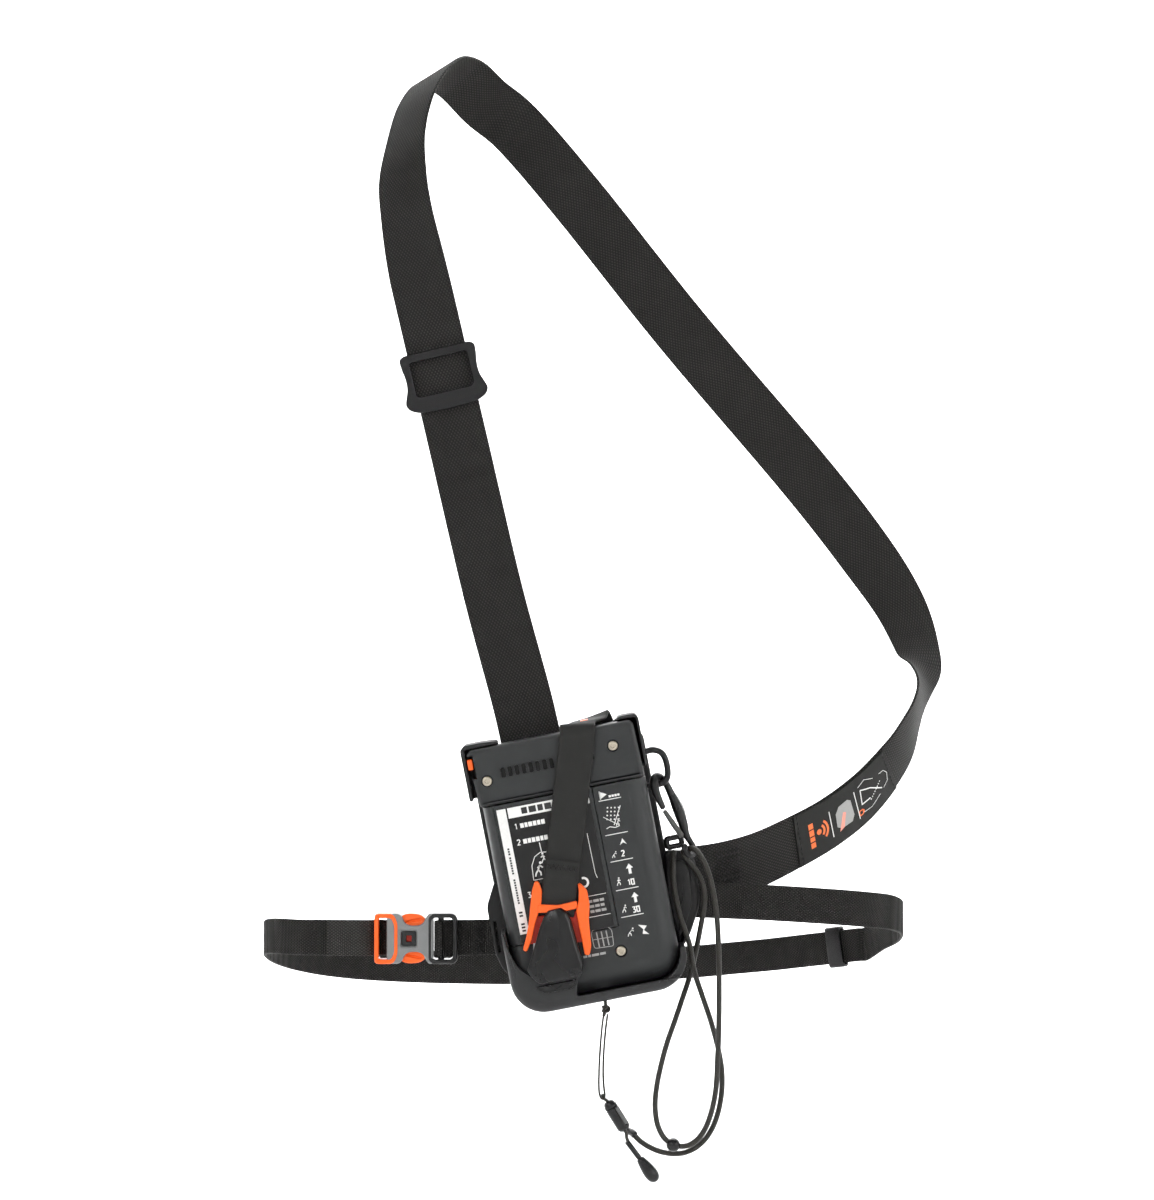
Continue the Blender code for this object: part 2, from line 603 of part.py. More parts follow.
def shoulder_route():
    """Up the chest, over the shoulder with a twist, down the back and round the right flank to the wing."""
    front = [(-19.1, -1.6, 48.4, 0.97, 0, 0.24), (-24.0, 1.0, 69, 0.97, 0.02, 0.24)]
    front += [(-35.5, 9.0, 111, 0.96, 0.1, 0.23), (-45.8, 15.0, 154, 0.97, 0.06, 0.22)]
    front += [(-49.5, 16.0, 170, 0.9736, 0, 0.2284), (-57.4, 16.0, 203.7, 0.9736, 0, 0.2284)]
    front += [(-65.3, 16.0, 237.4, 0.9736, 0, 0.2284), (-68.5, 17.0, 251, 0.96, -0.15, 0.2)]
    top = [(-72.8, 20.0, 272, 0.88, -0.44, 0.1), (-75.0, 25.0, 290, 0.80, -0.58, 0.0)]
    top += [(-74.0, 32.0, 308, 0.66, -0.72, 0.08), (-69.5, 43.0, 327, 0.68, -0.66, 0.25)]
    top += [(-61.5, 58.0, 340, 0.78, -0.48, 0.41), (-52.0, 75.0, 340, 0.78, -0.3, 0.55)]
    back = [(-41.0, 87.0, 331, 0.76, -0.12, 0.64), (-26.0, 93.0, 319, 0.75, 0, 0.66)]
    back += [(1.6, 96.0, 287, 0.75, 0, 0.66), (46.6, 98.0, 230.6, 0.75, 0, 0.66)]
    back += [(100.5, 97.0, 167, 0.75, 0, 0.66)]
    side = [(126.9, 94.0, 133, 0.76, 0.1, 0.65), (143.6, 90.0, 107.5, 0.68, 0.40, 0.60)]
    side += [(151.2, 84.0, 87, 0.50, 0.65, 0.55), (152.8, 77.0, 74, 0.33, 0.88, 0.30)]
    side += [(149.8, 70.0, 61, 0.28, 0.94, 0.0), (143.5, 62.0, 47, 0.40, 0.82, -0.30)]
    side += [(135.3, 55.0, 36, 0.42, 0.70, -0.50), (123.2, 46.0, 23.8, 0.38, 0.58, -0.66)]
    side += [(108.5, 35.0, 13.7, 0.30, 0.50, -0.78), (92.8, 25.0, 5.8, 0.22, 0.42, -0.86)]
    side += [(76.0, 13.0, -1.0, 0.16, 0.32, -0.92), (61.0, 4.5, -4.9, 0.1, 0.2, -0.97)]
    return front + top + back + side + [(47.0, 0.6, -7.2, 0.1, 0.05, -0.99)]


def make_shoulder_strap(looks):
    names = ["shoulder_strap_front", "shoulder_strap_top", "shoulder_strap_back", "shoulder_strap_side"]
    frames, stops = strap(names, shoulder_route(), SHOULDER_BREAKS, SHOULDER_WIDTH, looks["webbing"])
    run = frames[stops[LABEL_STATIONS[0]]:stops[LABEL_STATIONS[1]] + 1]
    towards_front = 1 if run[0][3].y < 0 else -1
    lift = towards_front * (WEBBING_THICK / 2 + 2 * GAP + 0.25)
    ribbon("shoulder_label", run, SHOULDER_WIDTH - 2.0, 0.5, looks["label"], lift)


def make_adjuster(looks):
    """Three-bar slide: two bars before the strap, one behind it, joined by rails beside it."""
    pivot = empty_at("adjuster_slide", ADJUSTER_CENTRE)
    across, _ = frame_of(ADJUSTER_ALONG, (1, 0, 0))
    front = Vector((0, -1, 0))

    def block(name, sides, lengths, depths, look):
        """A bar between two distances each way, square to the strap."""
        low, high = lengths
        near, far = depths
        rings = []
        for side in sides:
            corners = [(low, near), (high, near), (high, far), (low, far)]
            rings.append([ADJUSTER_CENTRE + across * side + ADJUSTER_ALONG * a + front * b for a, b in corners])
        return loft(name, rings, look)

    body = block("strap_adjuster", (-16.5, -13.3), (-11.5, 11.5), (-3.0, 3.2), looks["gloss"])
    change(body, block("rail_right", (13.3, 16.5), (-11.5, 11.5), (-3.0, 3.2), None), "UNION")
    change(body, block("bar_top", (-15.5, 15.5), (6.5, 11.0), (1.2, 3.0), None), "UNION")
    change(body, block("bar_low", (-15.5, 15.5), (-11.2, -5.0), (1.2, 3.4), None), "UNION")
    change(body, block("bar_middle", (-15.5, 15.5), (-2.4, 3.4), (-2.8, -1.1), None), "UNION")
    hang_on(body, pivot)


# ---------------------------------------------------------------- waist belt

def make_waist_straps(looks):
    up = (0, 0, 1)
    tab = [(-50.4, -2.0, BELT_Z, *up), (-42.0, -2.0, -32.2, *up), (-34.0, -2.0, -32.0, *up)]
    strap(["waist_strap_tab"], tab, [], WAIST_WIDTH, looks["belt"])
    route = [(-85.1, BELT_Y, BELT_Z), (-105, -2.2, -32.2), (-117, 1, -32.4), (-128, 12, -33), (-134, 32, -35.5)]
    route += [(-136, 58, -40), (-134, 85, -45.5), (-127, 110, -51), (-113, 130, -56), (-92, 143, -59.5)]
    route += [(-60, 149.5, -61.5), (-20, 151, -62), (20, 151, -61), (50, 151, -59.3), (70, 150, -57.4)]
    route += [SLIDER_CENTRE + SLIDER_ALONG * distance for distance in (-38, -19, 0, 12, 16)]
    route += [(136.5, 97, -40.5), (140.7, 80, -36), (141.5, 60, -31.5), (139.5, 42, -27.5), (133, 24, -24)]
    route += [(121, 10, -21.5), (104, 2, -19.5), (80, -1.5, -17.7), (60, -2.8, -16.7), (43, -3.4, -16)]
    stations = [(*point, *up) for point in route]
    names = ["waist_strap_left", "waist_strap_rear", "waist_elastic"]
    strap(names, stations, WAIST_BREAKS, WAIST_WIDTH, looks["belt"])


def make_belt_slider(looks):
    """A flat loop round the rear band."""
    pivot = empty_at("belt_slider_slide", SLIDER_CENTRE)
    across, face = frame_of(SLIDER_ALONG, (0, 0, 1))

    def ring(distance, height, depth):
        corners = [(-1, -1), (1, -1), (1, 1), (-1, 1)]
        middle = SLIDER_CENTRE + SLIDER_ALONG * distance
        return [middle + across * (height * a) + face * (depth * b) for a, b in corners]

    rings = [ring(-4, 9.3, 2.4), ring(4, 9.3, 2.4), ring(4, 7.95, 1.15), ring(-4, 7.95, 1.15)]
    hang_on(loft("belt_slider", rings, looks["gloss"], None, closed=True), pivot)


def belt_slab(name, outline, front, back, look):
    return slab(name, [(x, BELT_Z + z) for x, z in outline], BELT_Y + front, BELT_Y + back, look)


def belt_cut(piece, name, outline, front, back):
    change(piece, belt_slab(name, outline, front, back, None), "DIFFERENCE")


def box_outline(left, right, low, high):
    return [(left, low), (right, low), (right, high), (left, high)]


def make_waist_buckle(looks):
    half = BUCKLE_HALF
    outline = rounded_box(-79.5, -51.0, -half, half, (2, 3, 3, 2), 3)
    female = belt_slab("buckle_female", outline, -3.9, 3.9, looks["grey"])
    belt_cut(female, "prong_space", box_outline(-82, -63.5, -8.5, 8.5), -2.6, 2.6)
    belt_cut(female, "side_windows", box_outline(-73.4, -63.6, -14, 14), -2.4, 2.4)
    belt_cut(female, "front_window", box_outline(-74.0, -67.0, -3.2, 3.2), -6, -1)
    belt_cut(female, "bar_window", rounded_box(-61.5, -53.0, -8.2, 8.2, (1, 1, 1, 1), 2), -6, 6)
    tongue = [(-84.8, -half), (-79.8, -half), (-79.8, -1.8), (-68.0, -1.8), (-68.0, 1.8), (-79.8, 1.8)]
    tongue += [(-79.8, half), (-84.8, half)]
    male = belt_slab("buckle_male", tongue, -2.2, 2.2, looks["orange"])
    belt_cut(male, "ladder_window", box_outline(-83.6, -81.2, -8.0, 8.0), -6, 6)
    for name, side in {"buckle_prong_upper": 1, "buckle_prong_lower": -1}.items():
        pivot = empty_at(name + "_flex", (PRONG_ROOT, BELT_Y, BELT_Z + side * 6.4))
        arm = [(PRONG_ROOT, 5.2), (PRONG_ROOT, 7.6), (-73.0, 7.8), (-71.5, 10.2), (-66.0, 10.2), (-64.2, 8.0)]
        arm += [(-64.2, 5.8), (-72.0, 5.2)]
        outline = [(x, side * z) for x, z in arm]
        hang_on(belt_slab(name, outline, -2.1, 2.1, looks["orange"]), pivot)


# ---------------------------------------------------------------- cords of the leash

def leash_cord_route():
    """From the connector round below and up to the ring on the right side."""
    return [(22.2, -14, -111.8), (25.8, -14, -115.6), (30, -14, -118.3), (34.5, -14, -120.1), (39.5, -14, -120.9),
            (44.5, -14, -120.4), (49.5, -14, -118), (54, -14, -113.4), (57.4, -14, -106.5), (59.5, -14, -97.4),
            (59.9, -14, -88), (58.6, -14, -78.6), (55.3, -14.5, -66), (51.5, -15, -54.7), (48.1, -16, -44.2),
            (46.3, -17, -33.7), (42.8, -17.5, -23.3), (40.6, -17.5, -14.2), (39.6, -16.8, -6.8), (39.6, -14.5, -0.5),
            (39.9, -11.2, 4.6)]


def leash_loop_route():
    """From the bead up to the hook's eye, through it and back down to the bead."""
    return [(43.2, -18, -117.2), (46.6, -18, -116.4), (50.4, -18, -113.4), (53.6, -18, -108), (56, -18.4, -100),
            (57.3, -19, -91.6), (57.8, -19.4, -81), (58.2, -20, -72), (58.4, -20.4, -60), (58.4, -20.6, -48),
            (58.2, -20.8, -35.6), (57.6, -20.8, -23.2), (56.2, -20.6, -12.8), (54, -20.2, -3.6), (51.2, -19.4, 2.6),
            (48.6, -17.4, 5.8), (46.3, -15.1, 6.1), (44.2, -12.8, 5.6), (44.2, -10.8, 3), (46.8, -9.8, -0.5),
            (50.2, -9.6, -5), (52.4, -9.8, -11), (52.6, -10, -18), (50.9, -10.2, -28.3), (49.2, -10.4, -36.6),
            (46.7, -10.8, -47), (43.7, -11.8, -56), (40.4, -13, -65.5), (37, -14, -75), (34.5, -15, -84),
            (32.8, -16, -92), (32, -17, -100), (32.8, -17.8, -107.5), (35.6, -18, -113.8)]


def lanyard_route():
    """A thin loop that hangs from the knot, turns in the connector and comes back."""
    return [(10.6, -26.6, -61.4), (9.8, -26.6, -67.7), (9, -26.2, -78), (8.6, -25, -88.6), (8.8, -23.4, -94),
            (9.6, -22.2, -96.6), (10.6, -21.6, -97.0), (11.1, -22.2, -95.4), (10.6, -24, -90.6),
            (10.4, -25.4, -84), (10.7, -26.2, -76), (11.4, -26.6, -67.7), (12.2, -26.6, -61.4)]


def make_leash(looks):
    cord("leash_cord", leash_cord_route(), LEASH_RADIUS, looks["cord"])
    cord("leash_loop", leash_loop_route(), LEASH_RADIUS, looks["cord"])
    cord("lanyard_loop", lanyard_route(), LANYARD_RADIUS, looks["cord"], 3.0)
    sphere = [(2.9 - 2.9 * cos(pi * i / 8), max(0.4, 2.9 * sin(pi * i / 8))) for i in range(9)]
    bead_start = Vector((39.5, -18, -116.6)) - Vector((0.98, 0, -0.18)) * 2.9
    turned("leash_bead", bead_start, Vector((0.98, 0, -0.18)).normalized(), sphere, looks["gloss"], None, 16)
    knot = [(0, 0.8), (0.8, 1.7), (2.0, 2.0), (3.2, 1.6), (3.8, 0.8)]
    turned("lanyard_knot", Vector((11.4, -26.6, -57.2)), Vector((0, 0, -1)), knot, looks["cord"], None, 10)
    along = Vector((9.0, 0.0, -14.4)).normalized()
    capsule = [(0, 1.5), (1.2, 2.4), (3.0, 2.8), (12.8, 2.8), (13.6, 2.2), (14.2, 1.3)]
    turned("lanyard_connector", Vector((12.2, -19.6, -98.2)), along, capsule, looks["gloss"], None, 12)
    along = Vector((12.5, 0.0, -16.6)).normalized()
    drop = [(0, 1.1), (8.6, 1.1), (9.4, 1.5), (12.6, 2.3), (16.4, 2.9), (18.8, 2.6), (20.2, 1.6), (20.7, 0.6)]
    turned("pull_tab", Vector((20.2, -19.0, -114.9)), along, drop, looks["gloss"], None, 12)


# ---------------------------------------------------------------- the whole object

def make_looks():
    return {
        "housing": plastic("housing grey", (0.06, 0.065, 0.07), 0.55),
        "cover": plastic("cover grey", (0.09, 0.095, 0.10), 0.5),
        "rubber": plastic("bumper rubber", (0.035, 0.036, 0.038), 0.7),
        "seal": plastic("seal red", (0.20, 0.03, 0.02), 0.6),
        "label": plastic("label film", (0.02, 0.02, 0.022), 0.4),
        "window": plastic("display window", (0.25, 0.27, 0.28), 0.1),
        "display": plastic("display module", (0.35, 0.38, 0.33), 0.3),
        "board": plastic("circuit board", (0.02, 0.14, 0.05), 0.5),
        "copper": plastic("copper winding", (0.60, 0.28, 0.12), 0.4, 0.9),
        "cell": plastic("battery cell", (0.10, 0.12, 0.14), 0.35, 0.3),
        "nickel": plastic("nickel plate", (0.60, 0.56, 0.46), 0.3, 1.0),
        "steel": plastic("spring steel", (0.45, 0.45, 0.46), 0.35, 1.0),
        "orange": plastic("orange plastic", (0.90, 0.13, 0.02), 0.4),
        "plate": plastic("plate black", (0.025, 0.025, 0.027), 0.6),
        "cup": plastic("cup grey", (0.05, 0.052, 0.055), 0.5),
        "wing": plastic("wing laminate", (0.015, 0.015, 0.016), 0.6),
        "coated": plastic("coated strap", (0.025, 0.025, 0.023), 0.6),
        "lever": plastic("lever black", (0.008, 0.008, 0.009), 0.3),
        "wire": plastic("loop black", (0.012, 0.012, 0.013), 0.35),
        "gloss": plastic("gloss black", (0.02, 0.02, 0.022), 0.25),
        "hook": plastic("hook grey", (0.09, 0.09, 0.085), 0.35),
        "gate": plastic("gate grey", (0.22, 0.22, 0.20), 0.35),
        "webbing": plastic("shoulder webbing", (0.022, 0.021, 0.020), 0.8),
        "belt": plastic("waist webbing", (0.024, 0.023, 0.022), 0.8),
        "grey": plastic("buckle grey", (0.30, 0.30, 0.29), 0.45),
        "cord": plastic("cord sheath", (0.05, 0.048, 0.042), 0.75),
    }


def build():
    clear_scene()
    looks = make_looks()
    holster = empty_at("holster_frame", (0, 0, 0))
    holster.rotation_euler = (0, -LEAN, 0)
    makers = [make_front_shell, make_seal, make_rear_shell, make_battery_cover, make_head_cap, make_screws]
    makers += [make_bumpers, make_display, make_electronics, make_batteries, make_controls, make_back_plate]
    makers += [make_cup, make_wings, make_closure, make_lever, make_lever_spring, make_d_loop, make_snap_hook]
    for maker in makers:
        maker(holster, looks)
    make_shoulder_strap(looks)
    make_adjuster(looks)
    make_waist_straps(looks)
    make_belt_slider(looks)
    make_waist_buckle(looks)
    make_leash(looks)


build()
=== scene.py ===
"""Looks of an avalanche transceiver in its holster, with shoulder strap, waist belt and leash.

Sizes are millimetres, and MM turns them into metres. The transceiver and its holster lean sideways,
so their pieces are drawn upright, in x and z with y as depth, and turned by LEAN as they are made.
"""
from math import ceil, cos, pi, radians, sin

import bmesh
import bpy
from mathutils import Matrix, Vector


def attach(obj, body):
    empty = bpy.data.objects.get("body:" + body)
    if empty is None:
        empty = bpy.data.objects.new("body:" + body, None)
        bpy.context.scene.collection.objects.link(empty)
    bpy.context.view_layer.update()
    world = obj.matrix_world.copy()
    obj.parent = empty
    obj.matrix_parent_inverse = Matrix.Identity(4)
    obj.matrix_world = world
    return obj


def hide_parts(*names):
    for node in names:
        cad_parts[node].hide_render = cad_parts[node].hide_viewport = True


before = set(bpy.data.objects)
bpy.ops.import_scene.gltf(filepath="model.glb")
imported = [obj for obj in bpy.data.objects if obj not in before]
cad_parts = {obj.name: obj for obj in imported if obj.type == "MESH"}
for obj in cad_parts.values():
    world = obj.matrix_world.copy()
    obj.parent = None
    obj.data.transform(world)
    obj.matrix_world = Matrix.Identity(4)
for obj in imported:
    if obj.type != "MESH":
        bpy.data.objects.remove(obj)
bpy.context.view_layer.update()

MM = 0.001
LEAN = radians(11)
UPRIGHT = Matrix.Rotation(-LEAN, 3, "Y")

# Transceiver casing.
CASE_HALF = 34.3
CASE_BOTTOM = -53
CASE_TOP = 54.7
CASE_RADIUS = 12
CASE_WALL = 1.6
REAR_RIM = -16.4
DEEPER = Vector((0, 1, 0))
LABEL_FACE = -28.4
CAP_SEAM = 30.6
CAP_FACE = -28.9
COVER_RIGHT = 11.5
COVER_BOTTOM = -27.6
FILM = -29
SCREWS = {"screw_head_left": (-30.1, 41.2, CAP_FACE), "screw_head_right": (23.5, 45.7, CAP_FACE),
          "screw_lower": (10.7, -37.9, LABEL_FACE)}
BUTTONS = {"button_left": -12, "button_right": 12}
BUTTON_Z = -12

# Holster.
HOLSTER = (-36.6, 37, -56.9)
CUP_TOP = -22
CUP_FRONT = -31.8
TAPE_ACROSS = (0.955, 0, -0.295)
LEVER_POINT = Vector((-16.6, -34.2, -40.6))
LEVER_AXIS = Vector((0.985, 0, -0.17)).normalized()
HOOK_ORIGIN = Vector((39.5, -16, 25.9))
HOOK_DOWN = Vector((0.215, 0, -0.977)).normalized()
HOOK_TILT = radians(53)

# Webbing.
SHOULDER_WIDTH = 25.5
WAIST_WIDTH = 15
WEBBING_THICK = 1.4
SHOULDER_RIB = 1.05
WAIST_RIB = 0.9
WEBBING_FACE = WEBBING_THICK / 2
ADJUSTER_CENTRE = Vector((-57.4, 16, 203.7))
ADJUSTER_ALONG = Vector((-0.2284, 0, 0.9736)).normalized()
SLIDER_CENTRE = Vector((118, 121.3, -49.1))
SLIDER_ALONG = Vector((0.79, -0.59, 0.156)).normalized()
BELT_Y = -2.5
BELT_Z = -32.4
BUCKLE_HALF = 10.5
BUCKLE_DEEP = 3.8

# Cords.
LEASH_RADIUS = 1.15
LANYARD_RADIUS = 0.45

INK_DEPTH = 0.07


# ---- mesh tools

def mesh_piece(name, work, look, angle=42):
    """Turns a bmesh into a smooth-shaded object."""
    mesh = bpy.data.meshes.new(name)
    bmesh.ops.recalc_face_normals(work, faces=work.faces)
    work.to_mesh(mesh)
    work.free()
    mesh.shade_smooth()
    mesh.set_sharp_from_angle(angle=radians(angle))
    piece = bpy.data.objects.new(name, mesh)
    bpy.context.scene.collection.objects.link(piece)
    if look:
        mesh.materials.append(LOOKS[look])
    return piece


def spaced(points):
    """How far along a run each point lies."""
    reach = [0]
    for a, b in zip(points, points[1:]):
        reach.append(reach[-1] + (Vector(b) - Vector(a)).length)
    return reach


def skin(name, rings, look, lean=False, loop=False):
    """A closed body through rings of equal length, with its surface's millimetres as its UV map."""
    work = bmesh.new()
    layer = work.loops.layers.uv.new("uv")
    turn = UPRIGHT if lean else Matrix.Identity(3)
    rows = [[work.verts.new(turn @ Vector(point) * MM) for point in ring] for ring in rings]
    middle = rings[len(rings) // 2]
    around = spaced(list(middle) + [middle[0]])
    along = spaced([ring[0] for ring in rings])
    count = len(middle)
    last = len(rows) if loop else len(rows) - 1
    for i in range(last):
        far = (i + 1) % len(rows)
        reach = along[far] if far else along[i] + 1
        for j in range(count):
            k = (j + 1) % count
            face = work.faces.new((rows[i][j], rows[i][k], rows[far][k], rows[far][j]))
            spots = ((around[j], along[i]), (around[j + 1], along[i]), (around[j + 1], reach),
                     (around[j], reach))
            for corner, spot in zip(face.loops, spots):
                corner[layer].uv = spot
    if not loop:
        work.faces.new(rows[0])
        work.faces.new(rows[-1])
    return mesh_piece(name, work, look)


def arc(centre, radius, start, end, steps):
    turns = [radians(start + (end - start) * i / steps) for i in range(steps + 1)]
    return [(centre[0] + radius * cos(t), centre[1] + radius * sin(t)) for t in turns]


def rounded_box(left, right, low, high, radii, steps=8):
    """A rounded rectangle; radii, one or four, run from the lower left corner, anticlockwise."""
    a, b, c, d = [max(radius, 0.05) for radius in (radii if isinstance(radii, tuple) else (radii,) * 4)]
    points = arc((left + a, low + a), a, 180, 270, steps)
    points += arc((right - b, low + b), b, 270, 360, steps)
    points += arc((right - c, high - c), c, 0, 90, steps)
    return points + arc((left + d, high - d), d, 90, 180, steps)


def inset(outline, distance):
    """An anticlockwise outline, moved inwards by a distance."""
    result = []
    for i, point in enumerate(outline):
        here = Vector(point)
        before = (here - Vector(outline[i - 1])).normalized()
        after = (Vector(outline[(i + 1) % len(outline)]) - here).normalized()
        normal = Vector((-before.y, before.x)) + Vector((-after.y, after.x))
        normal = normal / max(normal.length_squared / 2, 0.5)
        result.append(tuple(here + normal * distance))
    return result


def soften(outline, radius, steps=5):
    """Rounds the corners of an outline."""
    result = []
    for i, point in enumerate(outline):
        here = Vector(point)
        to_last, to_next = Vector(outline[i - 1]) - here, Vector(outline[(i + 1) % len(outline)]) - here
        start = here + to_last.normalized() * min(radius, to_last.length * 0.45)
        end = here + to_next.normalized() * min(radius, to_next.length * 0.45)
        for k in range(steps + 1):
            t = k / steps
            result.append(tuple(start * (1 - t) ** 2 + here * 2 * t * (1 - t) + end * t ** 2))
    return result


def anticlockwise(outline):
    area = sum(a[0] * b[1] - b[0] * a[1] for a, b in zip(outline, outline[1:] + outline[:1]))
    return outline if area > 0 else outline[::-1]


def at_depth(outline, y):
    return [(x, y, z) for x, z in outline]


def round_rings(outline, front, back, radius, steps=4):
    """Rings of a slab whose front and back edges are rounded."""
    turns = [pi / 2 * i / steps for i in range(steps + 1)]
    shapes = [(inset(outline, radius * (1 - sin(t))), radius * (1 - cos(t))) for t in turns]
    rings = [at_depth(shape, front + deep) for shape, deep in shapes]
    return rings + [at_depth(shape, back - deep) for shape, deep in shapes[::-1]]


def slab(name, outline, front, back, radius, look, lean=True):
    return skin(name, round_rings(anticlockwise(outline), front, back, radius), look, lean)


def block(name, outline, front, back, look=None, lean=True):
    """A slab with sharp edges."""
    return skin(name, [at_depth(outline, front), at_depth(outline, back)], look, lean)


def box(name, low, high, lean=True):
    corners = [(low[0], low[2]), (high[0], low[2]), (high[0], high[2]), (low[0], high[2])]
    return block(name, corners, low[1], high[1], None, lean)


def frame_of(axis, across=None):
    """Two unit vectors square to an axis; the first one lies as near as it can to across."""
    side = Vector(across) if across else Vector((0, 1, 0)) if abs(axis.y) < 0.9 else Vector((1, 0, 0))
    side = (side - axis * side.dot(axis)).normalized()
    return side, axis.cross(side)


def turned(name, start, axis, profile, look, lean=False, sides=40):
    """A turned body: profile lists (distance along the axis, radius)."""
    first, second = frame_of(axis)
    turns = [2 * pi * i / sides for i in range(sides)]
    rings = [[start + axis * a + (first * cos(t) + second * sin(t)) * r for t in turns] for a, r in profile]
    return skin(name, rings, look, lean)


def curve_with_stops(points, step):
    """Catmull-Rom curve, a point about every step, and where on it each given point lies."""
    keys = [Vector(point) for point in points]
    keys = [keys[0] * 2 - keys[1]] + keys + [keys[-1] * 2 - keys[-2]]
    result = []
    stops = [0]
    for a, b, c, d in zip(keys, keys[1:], keys[2:], keys[3:]):
        pieces = max(1, ceil(Vector((c - b)[:3]).length / step))
        for i in range(pieces):
            t = i / pieces
            point = 2 * b + (c - a) * t + (2 * a - 5 * b + 4 * c - d) * t ** 2
            result.append((point + (3 * b - a - 3 * c + d) * t ** 3) / 2)
        stops.append(len(result))
    return result + [keys[-2]], stops


def smooth_curve(points, step):
    return curve_with_stops(points, step)[0]


def tangents(points):
    ends = [points[0]] + points + [points[-1]]
    return [(after - before).normalized() for before, after in zip(ends, ends[2:])]


def tube(name, points, radius, look, lean=False, sides=20, flat=1, across=None):
    """A bar along a path; a point's fourth number, if it has one, is its own radius."""
    centres = [Vector(point[:3]) for point in points]
    sizes = [point[3] if len(point) > 3 else radius for point in points]
    turns = [2 * pi * i / sides for i in range(sides)]
    rings = []
    side = across
    for centre, along, size in zip(centres, tangents(centres), sizes):
        side, other = frame_of(along, side)
        rings.append([centre + (side * cos(t) + other * sin(t) * flat) * size for t in turns])
    ends = []
    for ring, centre, sign in ((rings[0], centres[0], -1), (rings[-1], centres[-1], 1)):
        along = (centres[1] - centres[0] if sign < 0 else centres[-1] - centres[-2]).normalized() * sign
        size = sizes[0] if sign < 0 else sizes[-1]
        ends.append([[centre + (point - centre) * s + along * size * (1 - s * s) * 0.5 for point in ring]
                     for s in (0.85, 0.55, 0.2)])
    return skin(name, ends[0][::-1] + rings + ends[1], look, lean)


def ribbon_frames(stations, step):
    """Frames of a strap: centre, along, across and face vectors, and where its stations lie."""
    samples, stops = curve_with_stops([Vector(station) for station in stations], step)
    centres = [Vector(sample[:3]) for sample in samples]
    frames = []
    for sample, centre, along in zip(samples, centres, tangents(centres)):
        across, face = frame_of(along, sample[3:6])
        frames.append((centre, along, across, face))
    return frames, stops


def band(width, thick):
    """A strap's cross-section, anticlockwise: across and face distances."""
    half, deep = width / 2, thick / 2
    side = min(deep, 0.7)
    rim = [(half - side + side * sin(t), deep * cos(t)) for t in (pi / 8, pi / 4, pi / 2, 3 * pi / 4,
                                                                  7 * pi / 8)]
    top = [(-half + side + (half - side) * i, deep) for i in range(3)] + rim
    return top + [(-a, -b) for a, b in top]


def strap(name, frames, width, thick, look, lean=False, rib=0, lift=0):
    """A strap; rib thins every second ring, which makes ribs across it."""
    section = band(width, thick)
    rings = []
    for i, (centre, _, across, face) in enumerate(frames):
        squeeze = 1 - rib * (i % 2)
        rings.append([centre + face * (lift + b * squeeze) + across * a for a, b in section])
    return skin(name, rings, look, lean)


def on_frames(frames, share, across, lift):
    """A point of a strap: share runs from 0 to 1 over the frames."""
    place = min(max(share, 0), 0.9999) * (len(frames) - 1)
    i, t = int(place), place % 1
    a, b = frames[i], frames[i + 1]
    centre, side, face = (a[k].lerp(b[k], t) for k in (0, 2, 3))
    return centre + side * across + face * lift


def change(piece, tools, operation="DIFFERENCE"):
    for tool in tools if isinstance(tools, list) else [tools]:
        boolean = piece.modifiers.new(tool.name, "BOOLEAN")
        boolean.operation = operation
        boolean.object = tool
        boolean.solver = "EXACT"
        tool.hide_render = True


def bake(piece):
    """Applies a piece's modifiers and removes the bodies that its Booleans used."""
    bpy.context.view_layer.update()
    tools = [modifier.object for modifier in piece.modifiers if modifier.type == "BOOLEAN"]
    graph = bpy.context.evaluated_depsgraph_get()
    mesh = bpy.data.meshes.new_from_object(piece.evaluated_get(graph), preserve_all_data_layers=True,
                                           depsgraph=graph)
    piece.modifiers.clear()
    piece.data = mesh
    for tool in tools:
        bpy.data.objects.remove(tool)
    return piece


def settle(piece, edge=0, steps=3, angle=35, levels=0):
    """Rounds the edges of a piece, smooths it and applies its modifiers."""
    if levels:
        smooth = piece.modifiers.new("smooth", "SUBSURF")
        smooth.levels = smooth.render_levels = levels
    if edge:
        bevel = piece.modifiers.new("edge", "BEVEL")
        bevel.width = edge * MM
        bevel.segments = steps
        bevel.limit_method = "ANGLE"
        bevel.angle_limit = radians(angle)
        bevel.use_clamp_overlap = False
    bake(piece)
    piece.data.shade_smooth()
    piece.data.set_sharp_from_angle(angle=radians(45))
    normals = piece.modifiers.new("normals", "WEIGHTED_NORMAL")
    normals.keep_sharp = True
    normals.weight = 70
    return bake(piece)


def done(piece, slot, *nodes, body="holster"):
    """Attaches a piece to its body and hides the CAD nodes that it stands for; slot is not used."""
    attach(piece, body)
    if nodes:
        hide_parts(*nodes)
    return piece


# ---- materials

def node(tree, kind, values=None, **settings):
    made = tree.nodes.new("ShaderNode" + kind)
    for key, value in settings.items():
        setattr(made, key, value)
    for key, value in (values or {}).items():
        if isinstance(value, bpy.types.NodeSocket):
            tree.links.new(value, made.inputs[key])
        else:
            made.inputs[key].default_value = value
    return made


def maths(tree, operation, a, b=0, c=0):
    return node(tree, "Math", {0: a, 1: b, 2: c}, operation=operation).outputs[0]


def blend_colours(tree, share, first, second):
    mix = node(tree, "Mix", {"Factor": share}, data_type="RGBA")
    for socket, colour in ((6, first), (7, second)):
        if isinstance(colour, bpy.types.NodeSocket):
            tree.links.new(colour, mix.inputs[socket])
        else:
            mix.inputs[socket].default_value = (*colour, 1)
    return mix.outputs[2]


